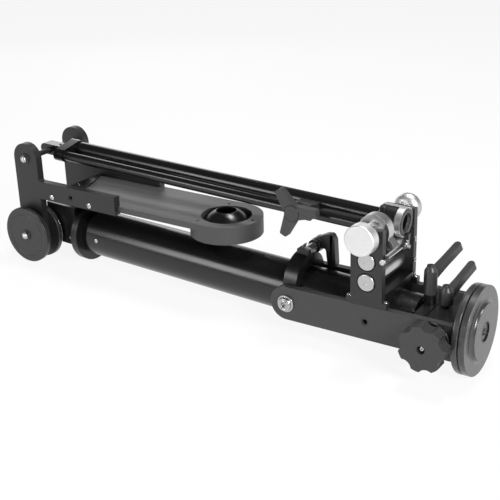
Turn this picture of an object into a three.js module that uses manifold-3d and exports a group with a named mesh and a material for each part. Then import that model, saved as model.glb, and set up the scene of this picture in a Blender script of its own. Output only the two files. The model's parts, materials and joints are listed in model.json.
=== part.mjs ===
// Camera jib crane, folded for carrying, in millimetres.
// +X runs towards the tripod base, +Y to the far side, +Z up; the model's origin is under its middle.
import * as THREE from "three";
import { mergeVertices } from "three/addons/utils/BufferGeometryUtils.js";
import Module from "manifold-3d";

const manifold = await Module();
manifold.setup();

// Driving dimensions
// Fits shared by all pieces
const clearance = 0.3;
const overrun = 1;
const plateEdge = 0.8;
const turnedEdge = 0.6;
const weld = 1e-4;
const facets = { large: 40, medium: 22, small: 12, arc: 8, bend: 3 };

// Boom tube, whose trunnion is the origin of the boom's frame
const boom = { radius: 38.1, wall: 3.2, shortOfFork: 11, shortOfHub: 7.7, plug: 12 };
const inner = { clearance: 0.4, wall: 3, overlap: 225 };

// Yoke: two bars from the trunnion to the pan plate, folded a little short of the boom
const yoke = { tilt: 2.49, inside: 44.2, bar: 10, halfHeight: 25.4, reach: 247.7 };
const hub = { length: 58, slot: 1.6, slotDepth: 9 };
const trunnion = { radius: 9, inset: 4.9, washer: 13, washerThick: 2, head: 10.5, headTall: 4.5, socket: 4 };
const pivotHole = { radius: 3.7, ahead: 124.3, raised: 1.3 };

// Tripod base with its raised boss, and the plate that pans on it
const base = { radius: 62, plate: 8.5, edge: 1.2, groove: 1.6, screw: 4.8, screwDepth: 22 };
const boss = { top: 39.5, foot: 46, rise: 5.2, recess: 15, recessDepth: 1.8 };
const pan = { plate: 9.7, edge: 3.5, spindle: 12, spindleLength: 30 };

// Drag knob on the near bar
const drag = { inset: 27.2, stud: 5.7, flange: 27, flangeThick: 5.5, neck: 17, neckLong: 7, thick: 21 };
const lobes = { count: 7, tip: 32.3, depth: 4.2, recess: 9, recessDepth: 5 };

// Ratchet levers on the hub
const lever = {
  stud: 5, hub: 6.8, arm: 5.6, tip: 6, reach: 57, rise: 29.5, sunk: 16.3, bore: 14, studSunk: 14,
};
const rearLever = { inset: 30.7, foot: 28.5, tall: 26, flare: 9.2, turn: 75 };
const frontLever = { apart: 23, foot: 39, tall: 40, flare: 11.2, turn: 72 };

// Clamp collar on the trunnion
const collar = { radius: 42, lift: 18, ahead: 13, behind: 8, trunnionBoss: 16, split: 2.5, splitAway: 6 };
const lug = { ahead: 10, near: 9, far: 17, top: 66, foot: 52 };
const clampStud = { radius: 7, level: 62, behind: 2, far: 49 };
const clampLever = { hub: 10.5, from: 27, to: 43 };
const knuckle = { reach: 34, lift: 25, tip: 8, out: 24, up: 11 };
const limb = { root: 6.5, reach: 44, tip: 5.6, drop: 83 };

// Head on the rear of the boom
const saddle = { radius: 43.5, before: 21.85, after: 22.15, top: 50 };
const head = { inset: 121.85, halfWidth: 23.3, above: 9.4, seat: 25.7, thick: 10 };
const foot = { before: 29.85, after: 29.75, tall: 8.8 };
const headShaft = { radius: 12.5, below: 36.9, apart: 29.9, proud: 1.5, recess: 13.7, recessDepth: 3 };
const pivot = { below: 2.3, radius: 12.7, stem: 5.7, bolt: 14 };
const splitRing = { outer: 24, from: -34, to: -19, ears: 9, earReach: 35, slot: 2.4, turn: -44 };
const linkClamp = { outer: 21, before: 16.85, after: 17.15, neck: 10 };
const nearKnob = { radius: 21.7, thick: 17, neck: 14, neckLong: 6, dish: 15, dishDepth: 2.5 };
const farKnob = { radius: 20, neck: 10, neckLong: 7, thick: 24 };

// Link: a tube fixed in the head and a rod that slides beside it
const linkTube = { radius: 12.7, wall: 2.2, away: 18, raised: 2.9, front: 456, after: 14.15 };
const linkRod = { radius: 7.7, away: -17.7, lowered: 1.8, before: 34.85 };
const endBlock = { from: 466, to: 448, wall: 2.6, cap: 4.5 };
const rodEnd = { from: -7, to: 12, ahead: 19.5, half: 9, clearance: 0.9 };
const lockBlock = { from: 13.5, to: 16.5, near: 27, wall: 4, half: 8, lap: 6 };
const teeBoss = { radius: 12, thick: 4, neck: 8, neckLong: 3 };
const tee = { hub: 12, thick: 13, arms: 3, reach: 38, root: 5, tip: 6.5, first: 9, raised: 5, stud: 5 };

// Front fork, axle and friction discs
const fork = { axle: 491.7, flange: 50, flangeFrom: 419, flangeTo: 407, armIn: 29, armOut: 41.6 };
const forkBlock = { from: 480, halfWide: 38, up: 50, down: 17, arm: 25 };
const axle = { radius: 7, head: 6.5, headTall: 5, washer: 9, washerThick: 1.4 };
const disc = { radius: 47.4, thick: 8, face: 79.65, edge: 0.9 };
const innerDisc = { radius: 46.9 };
const pad = { radius: 40 };

// Camera bracket, hung upside down over the boom
const bracket = { tilt: 1.72, outside: 63, thick: 12.7, halfWide: 25.4, height: 128.9 };
const leg = { low: 63.8, high: 93.5, reach: 187.4, corner: 3, hole: 3, holeAlong: 94.4, holeUp: 77.2 };
const cross = { radius: 4.6, washer: 9, washerThick: 1.6, head: 6.2, headTall: 5.5 };
const platform = { top: 77, thick: 9.5, start: 54, halfWide: 55.8, dot: 3, dotAlong: 64, dotAway: -9 };
const ring = {
  along: 355.3, outer: 55.8, bore: 38.6, deep: 27.3, pitch: 47.2, hole: 2.4, holeDeep: 12, holes: 3,
};
const bowl = { ball: 37.5, wall: 2.8, centre: 47, opening: 15.6, seat: 40.7, seatDeep: 11.5 };

// Solids from three.js geometries, joined and cut by manifold-3d
function solid(geometry) {
  const bare = geometry.index ? geometry.toNonIndexed() : geometry.clone();
  const place = new THREE.BufferGeometry().setAttribute("position", bare.getAttribute("position"));
  const merged = mergeVertices(place, weld);
  const corners = merged.index.array;
  const kept = [];
  for (let i = 0; i < corners.length; i += 3) {
    const [a, b, c] = corners.slice(i, i + 3);
    if (a !== b && b !== c && c !== a) kept.push(a, b, c);
  }
  const build = (triVerts) =>
    new manifold.Manifold(
      new manifold.Mesh({ numProp: 3, vertProperties: merged.attributes.position.array, triVerts }),
    );
  const body = build(new Uint32Array(kept));
  if (body.volume() > 0) return body;
  for (let i = 0; i < kept.length; i += 3) [kept[i + 1], kept[i + 2]] = [kept[i + 2], kept[i + 1]];
  return build(new Uint32Array(kept));
}

function geometryOf(body) {
  const mesh = body.getMesh();
  const points = new Float32Array(mesh.numVert * 3);
  for (let i = 0; i < mesh.numVert; i++) {
    points.set(mesh.vertProperties.subarray(i * mesh.numProp, i * mesh.numProp + 3), i * 3);
  }
  const geometry = new THREE.BufferGeometry();
  geometry.setAttribute("position", new THREE.BufferAttribute(points, 3));
  geometry.setIndex(new THREE.BufferAttribute(mesh.triVerts, 1));
  return geometry;
}

const quarter = Math.PI / 2;

// A turned piece, from its profile of [radius, distance along the axis]
function turned(axis, profile, count = facets.medium) {
  const points = profile.map(([radius, along]) => new THREE.Vector2(radius, along));
  const geometry = new THREE.LatheGeometry(points, count);
  if (axis === "x") geometry.rotateZ(-quarter);
  if (axis === "z") geometry.rotateX(quarter);
  return solid(geometry);
}

function drum(axis, radius, from, to, edge = turnedEdge, count = facets.medium) {
  const profile = [
    [0, from],
    [radius - edge, from],
    [radius, from + edge],
    [radius, to - edge],
    [radius - edge, to],
    [0, to],
  ];
  return turned(axis, profile, count);
}

// A plain cylinder, for cutters and for hidden stems
function rod(axis, radius, from, to, count = facets.medium) {
  return turned(axis, [[0, from], [radius, from], [radius, to], [0, to]], count);
}

// A cylinder with a bore and square edges
function pipe(axis, outer, bore, from, to, count = facets.medium) {
  return turned(axis, [[bore, from], [outer, from], [outer, to], [bore, to], [bore, from]], count);
}

function sleeve(axis, outer, bore, from, to, edge = turnedEdge, count = facets.medium) {
  const profile = [
    [bore, from],
    [outer - edge, from],
    [outer, from + edge],
    [outer, to - edge],
    [outer - edge, to],
    [bore, to],
    [bore, from],
  ];
  return turned(axis, profile, count);
}

// An outline extruded square to a plane: "xz" from near to far, "yz" along X, "xy" upwards
function slab(plane, outline, from, to, edge = plateEdge, curveSegments = facets.arc) {
  const geometry = new THREE.ExtrudeGeometry(outline, {
    depth: to - from - 2 * edge,
    bevelEnabled: edge > 0,
    bevelThickness: edge,
    bevelSize: edge,
    bevelOffset: -edge,
    bevelSegments: 1,
    curveSegments,
  });
  geometry.translate(0, 0, from + edge);
  const X = new THREE.Vector3(1, 0, 0);
  const Y = new THREE.Vector3(0, 1, 0);
  const Z = new THREE.Vector3(0, 0, 1);
  const turn = new THREE.Matrix4();
  if (plane === "xz") {
    geometry.translate(0, 0, -from - to);
    turn.makeBasis(X, Z, Y.clone().negate());
  }
  if (plane === "yz") turn.makeBasis(Y, Z, X);
  geometry.applyMatrix4(turn);
  return solid(geometry);
}

function rectangle(left, right, low, high) {
  const shape = new THREE.Shape();
  shape.moveTo(left, low);
  shape.lineTo(right, low);
  shape.lineTo(right, high);
  shape.lineTo(left, high);
  shape.closePath();
  return shape;
}

function circle(x, y, radius) {
  const shape = new THREE.Path();
  shape.absarc(x, y, radius, 0, 2 * Math.PI, false);
  return shape;
}

function box(left, right, near, far, low, high, edge = 0) {
  return slab("xy", rectangle(left, right, near, far), low, high, edge);
}

// Points of an arc from one angle to another, in quarter turns
function arc(x, y, across, up, from, to, steps = facets.bend) {
  return Array.from({ length: steps + 1 }, (_, i) => {
    const angle = quarter * (from + ((to - from) * i) / steps);
    return [x + across * Math.cos(angle), y + up * Math.sin(angle)];
  });
}

// A plate square to Y with round holes, each given as [along, up, radius]
function drilled(plate, holes) {
  const reach = disc.face;
  return holes.reduce(
    (body, [x, z, radius]) => body.subtract(rod("y", radius, -reach, reach).translate([x, 0, z])),
    plate,
  );
}

const degrees = (angle) => (angle * Math.PI) / 180;
const sides = [["near", -1], ["far", 1]];

// The same span on the near or the far side, lowest first
function span(side, inside, outside) {
  return side < 0 ? [-outside, -inside] : [inside, outside];
}

// A profile written outwards from the middle plane, turned to the near or the far side
function sided(side, profile) {
  return profile.map(([radius, along]) => [radius, side * along]);
}

// Groups: the row's frame, the boom's frame, and the yoke's and bracket's frames turned in it
const crane = new THREE.Group();
const boomFrame = new THREE.Group();
const yokeFrame = new THREE.Group();
const bracketFrame = new THREE.Group();
crane.add(boomFrame);
boomFrame.add(yokeFrame, bracketFrame);
yokeFrame.rotation.y = -degrees(yoke.tilt);
bracketFrame.rotation.y = -degrees(bracket.tilt);
bracketFrame.position.x = -fork.axle;

const finish = {
  black: { color: 0x26272a, metalness: 0.4, roughness: 0.5 },
  grey: { color: 0x5b5d61, metalness: 0.4, roughness: 0.5 },
  silver: { color: 0xc4c6c8, metalness: 0.9, roughness: 0.3 },
  pad: { color: 0x101010, metalness: 0, roughness: 0.8 },
};

function add(frame, name, body, look) {
  const mesh = new THREE.Mesh(geometryOf(body), new THREE.MeshStandardMaterial(look));
  mesh.name = name;
  frame.add(mesh);
}

// Places along the yoke's axis, from the trunnion outwards
const panBack = yoke.reach + clearance;
const panFront = panBack + pan.plate;
const baseBack = panFront + base.groove;
const baseFace = baseBack + base.plate;
const bossFace = baseFace + boss.rise;
const hubFront = yoke.reach - hub.length;
const spindleEnd = baseBack - pan.spindleLength;
const yokeOutside = yoke.inside + yoke.bar;
const betweenBars = yoke.inside - clearance;
const dragAhead = yoke.reach - drag.inset;
const rearAhead = yoke.reach - rearLever.inset;
const frontAhead = rearAhead - frontLever.apart;
const headAhead = yoke.reach - head.inset;
const boomBack = hubFront - boom.shortOfHub;

// Levels, from the bracket's cross shaft down to the head's shafts
const linkLevel = bracket.height + linkTube.raised;
const rodLevel = linkLevel - linkRod.lowered;
const pivotLevel = bracket.height - pivot.below;
const headTop = pivotLevel + head.above;
const shaftUpper = pivotLevel - headShaft.below;
const shaftLower = shaftUpper - headShaft.apart;

function basePlate() {
  const profile = [
    [0, spindleEnd],
    [pan.spindle - turnedEdge, spindleEnd],
    [pan.spindle, spindleEnd + turnedEdge],
    [pan.spindle, baseBack],
    [base.radius - base.edge, baseBack],
    [base.radius, baseBack + base.edge],
    [base.radius, baseFace - base.edge],
    [base.radius - base.edge, baseFace],
    ...arc(boss.foot, bossFace, boss.foot - boss.top, boss.rise, -1, -2),
    [boss.recess, bossFace],
    [boss.recess, bossFace - boss.recessDepth],
    [base.screw, bossFace - boss.recessDepth],
    [base.screw, bossFace - base.screwDepth],
    [0, bossFace - base.screwDepth],
  ];
  add(yokeFrame, "base_plate", turned("x", profile, facets.large), finish.grey);
}

function panPlate() {
  const bore = pan.spindle + clearance;
  const profile = [
    [bore, panBack],
    ...arc(base.radius - pan.edge, panBack + pan.edge, pan.edge, pan.edge, -1, 0),
    [base.radius, panFront - base.edge],
    [base.radius - base.edge, panFront],
    [bore, panFront],
    [bore, panBack],
  ];
  add(yokeFrame, "pan_plate", turned("x", profile, facets.large), finish.grey);
}

function panHub() {
  const outline = rectangle(-betweenBars, betweenBars, -yoke.halfHeight, yoke.halfHeight);
  const slotAt = (frontAhead + rearAhead) / 2;
  const slotFoot = yoke.halfHeight - hub.slotDepth;
  const studBore = lever.stud + clearance;
  const studFoot = yoke.halfHeight - lever.studSunk - clearance;
  const body = slab("yz", outline, hubFront, yoke.reach)
    .subtract(rod("x", pan.spindle + clearance, spindleEnd - clearance, yoke.reach + overrun, facets.large))
    .subtract(
      rod("y", drag.stud + clearance, -betweenBars - overrun, -pan.spindle - overrun)
        .translate([dragAhead, 0, 0]),
    )
    .subtract(
      box(slotAt, slotAt + hub.slot, -betweenBars - overrun, betweenBars + overrun, slotFoot,
        yoke.halfHeight + overrun),
    );
  const bored = [frontAhead, rearAhead].reduce(
    (block, ahead) =>
      block.subtract(
        rod("z", studBore, studFoot, yoke.halfHeight + overrun, facets.small).translate([ahead, 0, 0]),
      ),
    body,
  );
  add(yokeFrame, "pan_hub", bored, finish.black);
}

function yokeBar(name, side) {
  const outline = new THREE.Shape();
  outline.moveTo(yoke.reach, -yoke.halfHeight);
  outline.lineTo(yoke.reach, yoke.halfHeight);
  outline.absarc(0, 0, yoke.halfHeight, quarter, 3 * quarter, false);
  outline.closePath();
  const holes = [[0, 0, trunnion.radius + clearance], [pivotHole.ahead, pivotHole.raised, pivotHole.radius]];
  if (side < 0) holes.push([dragAhead, 0, drag.stud + clearance]);
  const body = drilled(slab("xz", outline, ...span(side, yoke.inside, yokeOutside)), holes);
  add(yokeFrame, "yoke_bar_" + name, body, finish.black);
}

function trunnionBolt(name, side) {
  const tip = betweenBars - trunnion.inset;
  const seat = yokeOutside + clearance;
  const cap = seat + trunnion.washerThick;
  const top = cap + trunnion.headTall;
  const profile = [
    [0, tip],
    [trunnion.radius, tip],
    [trunnion.radius, seat],
    [trunnion.washer, seat],
    [trunnion.washer, cap],
    [trunnion.head, cap],
    [trunnion.head, top - turnedEdge],
    [trunnion.head - turnedEdge, top],
    [trunnion.socket, top],
    [trunnion.socket, top - trunnion.socket],
    [0, top - trunnion.socket],
  ];
  add(yokeFrame, "trunnion_bolt_" + name, turned("y", sided(side, profile)), finish.silver);
}

function dragFlange() {
  const seat = yokeOutside + clearance;
  const face = seat + drag.flangeThick;
  const profile = [
    [0, pan.spindle + 2 * overrun],
    [drag.stud, pan.spindle + 2 * overrun],
    [drag.stud, seat],
    [drag.flange - turnedEdge, seat],
    [drag.flange, seat + turnedEdge],
    [drag.flange, face - turnedEdge],
    [drag.flange - turnedEdge, face],
    [drag.stud, face],
    [drag.stud, face + drag.neckLong + drag.thick - lobes.recessDepth - overrun],
    [0, face + drag.neckLong + drag.thick - lobes.recessDepth - overrun],
  ];
  const body = turned("y", sided(-1, profile)).translate([dragAhead, 0, 0]);
  add(yokeFrame, "drag_flange", body, finish.black);
}

// A hand wheel's outline: a circle whose radius swells and shrinks once a lobe
function lobedOutline() {
  const middle = lobes.tip - lobes.depth / 2;
  const steps = lobes.count * facets.bend * 2;
  const points = Array.from({ length: steps }, (_, i) => {
    const angle = (2 * Math.PI * i) / steps;
    const radius = middle + (lobes.depth / 2) * Math.cos(lobes.count * angle);
    return new THREE.Vector2(radius * Math.cos(angle), radius * Math.sin(angle));
  });
  return new THREE.Shape(points);
}

function dragKnob() {
  const back = yokeOutside + drag.flangeThick + 2 * clearance;
  const rim = back + drag.neckLong;
  const face = rim + drag.thick;
  const bore = rod("y", drag.stud + clearance, -face - overrun, -back + overrun);
  const body = slab("xz", lobedOutline(), -face, -rim, 2 * plateEdge)
    .add(rod("y", drag.neck, -rim - overrun, -back))
    .subtract(bore)
    .subtract(rod("y", lobes.recess, -face - overrun, -face + lobes.recessDepth))
    .translate([dragAhead, 0, 0]);
  add(yokeFrame, "drag_knob", body, finish.black);
}

// A round-ended arm along X from the middle of its hub
function armOf(root, reach, tip) {
  const end = arc(reach - tip, 0, tip, tip, 1, 0).map(([along, radius]) => [radius, along]);
  return turned("x", [[0, 0], [root, 0], ...end], facets.small);
}

// A ratchet lever standing on the hub, its arm rising outwards from the top of its barrel
function ratchetLever(name, at, ahead) {
  const top = at.foot + at.tall;
  const arm = armOf(lever.arm, Math.hypot(lever.reach, lever.rise), lever.tip);
  const lift = THREE.MathUtils.radToDeg(Math.atan2(lever.rise, lever.reach));
  const root = top - lever.sunk;
  const barrel = [[0, at.foot], [at.flare, at.foot], [lever.hub, top], [0, top]];
  const body = turned("z", barrel, facets.small)
    .add(arm.rotate([0, -lift, 0]).translate([0, 0, root]))
    .rotate([0, 0, at.turn])
    .subtract(rod("z", lever.stud + clearance, at.foot - overrun, at.foot + lever.bore, facets.small))
    .translate([ahead, 0, 0]);
  add(yokeFrame, "lock_lever_" + name, body, finish.black);
  const studTop = at.foot + lever.bore - clearance;
  const stud = rod("z", lever.stud, yoke.halfHeight - lever.studSunk, studTop, facets.small);
  add(yokeFrame, "lock_stud_" + name, stud.translate([ahead, 0, 0]), finish.silver);
}

// Boom
function boomTube() {
  const bore = boom.radius - boom.wall;
  const body = pipe("x", boom.radius, bore, boom.shortOfFork - fork.flangeTo, boomBack, facets.large);
  add(boomFrame, "boom_tube", body, finish.black);
  const plug = drum("x", bore - clearance, boomBack - 2 * boom.plug, boomBack - boom.plug / 2);
  add(boomFrame, "boom_plug", plug, finish.black);
}

function clampCollar() {
  const outline = new THREE.Shape();
  outline.absarc(0, 0, collar.radius, 2 * quarter, 4 * quarter, false);
  outline.absarc(0, collar.lift, collar.radius, 0, 2 * quarter, false);
  outline.closePath();
  const tip = betweenBars - trunnion.inset;
  const stud = clampStud.radius + clearance;
  let body = slab("yz", outline, -collar.ahead, collar.behind);
  for (const [, side] of sides) {
    body = body.add(rod("y", collar.trunnionBoss, ...span(side, boom.radius / 2, betweenBars)));
  }
  body = body
    .add(box(-lug.ahead, collar.behind, -lug.near, lug.far, lug.foot, lug.top, plateEdge))
    .subtract(rod("x", boom.radius + clearance, -collar.ahead - 2 * overrun - collar.trunnionBoss,
      collar.behind + 2 * overrun + collar.trunnionBoss, facets.large));
  for (const [, side] of sides) {
    const pocket = span(side, tip - clearance, betweenBars + overrun);
    body = body.subtract(rod("y", trunnion.radius + clearance, ...pocket));
  }
  const slit = box(-collar.ahead - overrun, collar.behind + overrun, collar.splitAway,
    collar.splitAway + collar.split, 0, lug.top + overrun);
  const bore = rod("y", stud, 0, collar.radius).translate([clampStud.behind, 0, clampStud.level]);
  add(boomFrame, "clamp_collar", body.subtract(slit).subtract(bore), finish.black);
}

function collarStud() {
  const body = rod("y", clampStud.radius, clearance, lug.far + 2 * overrun)
    .add(drum("y", clampStud.radius, lug.far + clearance, clampStud.far))
    .translate([clampStud.behind, 0, clampStud.level]);
  add(boomFrame, "collar_stud", body, finish.silver);
}

function collarLever() {
  const middle = (clampLever.from + clampLever.to) / 2;
  const half = (clampLever.to - clampLever.from) / 2;
  const top = armOf(half, knuckle.reach, knuckle.tip).rotate([0, -knuckle.lift, 0]);
  const handle = armOf(limb.root, limb.reach, limb.tip)
    .rotate([0, limb.drop, 0])
    .translate([knuckle.out, 0, knuckle.up]);
  const body = drum("y", clampLever.hub, clampLever.from, clampLever.to)
    .add(top.add(handle).translate([0, middle, 0]))
    .subtract(rod("y", clampStud.radius + clearance, clampLever.from - overrun, clampLever.to + overrun))
    .translate([clampStud.behind, 0, clampStud.level]);
  add(boomFrame, "collar_lever", body, finish.black);
}

// Head, whose plates lie along the folded yoke
const nearInside = yoke.inside;
const headOutside = yoke.inside + head.thick;
const headFrame = new THREE.Group();
headFrame.rotation.y = yokeFrame.rotation.y;
boomFrame.add(headFrame);

function headSaddle() {
  const outline = new THREE.Shape();
  outline.absarc(0, 0, saddle.radius, 2 * quarter, 4 * quarter, false);
  outline.lineTo(saddle.radius, saddle.top);
  outline.lineTo(-saddle.radius, saddle.top);
  outline.closePath();
  const front = headAhead - saddle.before;
  const back = headAhead + saddle.after;
  const body = slab("yz", outline, front, back)
    .subtract(rod("x", boom.radius + clearance, front - overrun, back + overrun, facets.large));
  add(boomFrame, "head_saddle", body, finish.black);
}

function headPlate(name, side) {
  const left = headAhead - head.halfWidth;
  const right = headAhead + head.halfWidth;
  const footTop = head.seat + foot.tall;
  const outline = new THREE.Shape();
  outline.moveTo(headAhead - foot.before, head.seat);
  outline.lineTo(headAhead + foot.after, head.seat);
  outline.lineTo(headAhead + foot.after, footTop);
  outline.lineTo(right, footTop);
  outline.lineTo(right, headTop);
  outline.lineTo(left, headTop);
  outline.lineTo(left, footTop);
  outline.lineTo(headAhead - foot.before, footTop);
  outline.closePath();
  const levels = [shaftUpper, shaftLower];
  const holes = levels.map((level) => [headAhead, level, headShaft.radius + clearance]);
  holes.push([headAhead, pivotLevel, pivot.stem + clearance]);
  const recess = span(side, headOutside - headShaft.recessDepth, headOutside + overrun);
  const body = levels.reduce(
    (plate, level) => plate.subtract(rod("y", headShaft.recess, ...recess).translate([headAhead, 0, level])),
    drilled(slab("xz", outline, ...span(side, nearInside, headOutside)), holes),
  );
  add(headFrame, "head_plate_" + name, body, finish.black);
}

function headShafts() {
  const reach = headOutside + headShaft.proud;
  for (const [name, level] of [["upper", shaftUpper], ["lower", shaftLower]]) {
    const body = drum("y", headShaft.radius, -reach, reach).translate([headAhead, 0, level]);
    add(headFrame, "head_shaft_" + name, body, finish.silver);
  }
}

const clampNear = linkTube.away - linkClamp.outer;
const clampFar = linkTube.away + linkClamp.outer;
const linkTubeBack = headAhead + linkTube.after;

function pivotShaft() {
  const near = -nearInside + clearance;
  const body = drum("y", pivot.radius, near, clampNear - clearance)
    .subtract(rod("y", pivot.stem + clearance, near - overrun, near + pivot.bolt))
    .translate([headAhead, 0, pivotLevel]);
  add(headFrame, "pivot_shaft", body, finish.silver);
}

function pivotRing() {
  const slot = splitRing.slot / 2;
  const outline = new THREE.Shape();
  outline.absarc(0, 0, splitRing.outer, 0, 2 * Math.PI, false);
  const length = splitRing.earReach;
  const half = splitRing.ears;
  const ring = slab("xz", outline, splitRing.from, splitRing.to, plateEdge, facets.large);
  const ears = box(0, length, splitRing.from, splitRing.to, -half, half, plateEdge);
  const cut = box(0, length + overrun, splitRing.from - overrun, splitRing.to + overrun, -slot, slot);
  const bore = rod("y", pivot.radius + clearance, splitRing.from - overrun, splitRing.to + overrun);
  const body = ring
    .add(ears)
    .subtract(cut)
    .rotate([0, -splitRing.turn, 0])
    .subtract(bore)
    .translate([headAhead, 0, pivotLevel]);
  add(headFrame, "pivot_ring", body, finish.silver);
}

function linkClampBody() {
  const axis = linkLevel;
  const stub = rod("y", linkClamp.neck, linkTube.away, nearInside - clearance)
    .rotate([0, -yoke.tilt, 0]);
  const bolt = rod("y", pivot.stem + clearance, clampFar - overrun, nearInside + overrun);
  const barrel = drum("x", linkClamp.outer, headAhead - linkClamp.before, headAhead + linkClamp.after,
    2 * turnedEdge);
  const tilt = degrees(yoke.tilt);
  const pin = [
    headAhead * Math.cos(tilt) - pivotLevel * Math.sin(tilt),
    0,
    headAhead * Math.sin(tilt) + pivotLevel * Math.cos(tilt),
  ];
  const body = barrel
    .translate([0, linkTube.away, axis])
    .add(stub.translate(pin))
    .subtract(bolt.translate(pin))
    .subtract(
      rod("x", linkTube.radius + clearance, -linkTube.front, headAhead + linkClamp.after + overrun)
        .translate([0, linkTube.away, axis]),
    );
  add(boomFrame, "link_clamp", body, finish.silver);
}

function knobs() {
  const seat = headOutside + clearance;
  const depth = nearInside - pivot.bolt + 2 * overrun;
  const nearFace = seat + nearKnob.neckLong + nearKnob.thick;
  const near = [
    [0, depth],
    [pivot.stem, depth],
    [pivot.stem, seat],
    [nearKnob.neck, seat],
    [nearKnob.neck, seat + nearKnob.neckLong],
    [nearKnob.radius - plateEdge, seat + nearKnob.neckLong],
    [nearKnob.radius, seat + nearKnob.neckLong + plateEdge],
    [nearKnob.radius, nearFace - 2 * plateEdge],
    [nearKnob.radius - 2 * plateEdge, nearFace],
    [nearKnob.dish, nearFace],
    [nearKnob.dish - nearKnob.dishDepth, nearFace - nearKnob.dishDepth],
    [0, nearFace - nearKnob.dishDepth],
  ];
  const farFace = seat + farKnob.neckLong + farKnob.thick;
  const ball = farKnob.thick / 2;
  const far = [
    [0, clampFar],
    [pivot.stem, clampFar],
    [pivot.stem, seat],
    [farKnob.neck, seat],
    [farKnob.neck, seat + farKnob.neckLong],
    ...arc(farKnob.radius - ball, farFace - ball, ball, ball, -1, 1, 2 * facets.bend),
    [0, farFace],
  ];
  const at = [headAhead, 0, pivotLevel];
  add(headFrame, "pivot_knob_near", turned("y", sided(-1, near)).translate(at), finish.silver);
  add(headFrame, "pivot_knob_far", turned("y", far).translate(at), finish.silver);
}

// Link
function linkTubeBody() {
  const body = pipe("x", linkTube.radius, linkTube.radius - linkTube.wall, -linkTube.front, linkTubeBack)
    .translate([0, linkTube.away, linkLevel]);
  add(boomFrame, "link_tube", body, finish.black);
}

// The end block's outline: one round lobe over the link tube and one over the rod
function twinOutline(wall) {
  const big = linkTube.radius + wall;
  const small = linkRod.radius + wall;
  const span = Math.hypot(linkTube.away - linkRod.away, linkLevel - rodLevel);
  const lean = Math.acos((big - small) / span);
  const base = Math.atan2(rodLevel - linkLevel, linkRod.away - linkTube.away);
  const outline = new THREE.Shape();
  outline.absarc(linkTube.away, linkLevel, big, base + lean, base - lean + 2 * Math.PI, false);
  outline.absarc(linkRod.away, rodLevel, small, base - lean, base + lean, false);
  outline.closePath();
  return outline;
}

function linkRodBody() {
  const eyeBore = cross.radius + rodEnd.clearance;
  const tilt = degrees(bracket.tilt);
  const shaft = [-fork.axle - bracket.height * Math.sin(tilt), 0, bracket.height * Math.cos(tilt)];
  const twin = slab("yz", twinOutline(endBlock.wall), -endBlock.from, -endBlock.to);
  const shank = drum("x", linkRod.radius, -endBlock.to - overrun, headAhead - linkRod.before)
    .translate([0, linkRod.away, rodLevel]);
  const outline = new THREE.Shape();
  outline.absarc(shaft[0] - rodEnd.ahead + rodEnd.half, rodLevel, rodEnd.half, quarter, 3 * quarter, false);
  outline.lineTo(-endBlock.from + overrun, rodLevel - rodEnd.half);
  outline.lineTo(-endBlock.from + overrun, rodLevel + rodEnd.half);
  outline.closePath();
  const eye = slab("xz", outline, rodEnd.from, rodEnd.to, plateEdge, facets.medium);
  const bore = rod("x", linkTube.radius + clearance, -endBlock.from + endBlock.cap, -endBlock.to + overrun)
    .translate([0, linkTube.away, linkLevel]);
  const body = twin
    .add(shank)
    .add(eye)
    .subtract(bore)
    .subtract(rod("y", eyeBore, rodEnd.from - overrun, rodEnd.to + overrun).translate(shaft));
  add(boomFrame, "link_rod", body, finish.black);
}

const lockMiddle = (lockBlock.to - lockBlock.from) / 2;

function linkLock() {
  const round = drum("x", linkRod.radius + lockBlock.wall, -lockBlock.from, lockBlock.to)
    .translate([0, linkRod.away, rodLevel]);
  const bridge = box(-lockBlock.from, lockBlock.to, -lockBlock.near, linkTube.away - lockBlock.lap,
    rodLevel - lockBlock.half, rodLevel + lockBlock.half, plateEdge);
  const seat = lockBlock.near;
  const neck = rod("y", teeBoss.neck, -seat - teeBoss.thick - teeBoss.neckLong, -seat + overrun);
  const flange = drum("y", teeBoss.radius, -seat - teeBoss.thick, -seat + overrun);
  const stud = rod("y", tee.stud, -seat - teeBoss.thick - teeBoss.neckLong - tee.thick + overrun, -seat);
  const at = [lockMiddle, 0, rodLevel + tee.raised];
  const bores = [
    [linkTube.radius, linkTube.away, linkLevel],
    [linkRod.radius, linkRod.away, rodLevel],
  ];
  const body = bores.reduce(
    (block, [radius, away, level]) =>
      block.subtract(
        rod("x", radius + clearance, -lockBlock.from - overrun, lockBlock.to + overrun)
          .translate([0, away, level]),
      ),
    round.add(bridge).add(flange.add(neck).add(stud).translate(at)),
  );
  add(boomFrame, "link_lock", body, finish.black);
}

function teeKnob() {
  const back = lockBlock.near + teeBoss.thick + teeBoss.neckLong + clearance;
  const face = back + tee.thick;
  const middle = -(back + face) / 2;
  let body = drum("y", tee.hub, -face, -back);
  for (let i = 0; i < tee.arms; i++) {
    const turn = THREE.MathUtils.radToDeg((2 * Math.PI * i) / tee.arms);
    const arm = armOf(tee.root, tee.reach, tee.tip).rotate([0, -tee.first - turn, 0]);
    body = body.add(arm.translate([0, middle, 0]));
  }
  body = body
    .subtract(rod("y", tee.stud + clearance, -face + overrun - clearance, -back + overrun))
    .translate([lockMiddle, 0, rodLevel + tee.raised]);
  add(boomFrame, "tee_knob", body, finish.black);
}

// Front fork
function innerTube() {
  const outer = boom.radius - boom.wall - inner.clearance;
  const front = -fork.flangeTo + clearance;
  const body = pipe("x", outer, outer - inner.wall, front, front + inner.overlap, facets.large);
  add(boomFrame, "inner_tube", body, finish.black);
}

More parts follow.
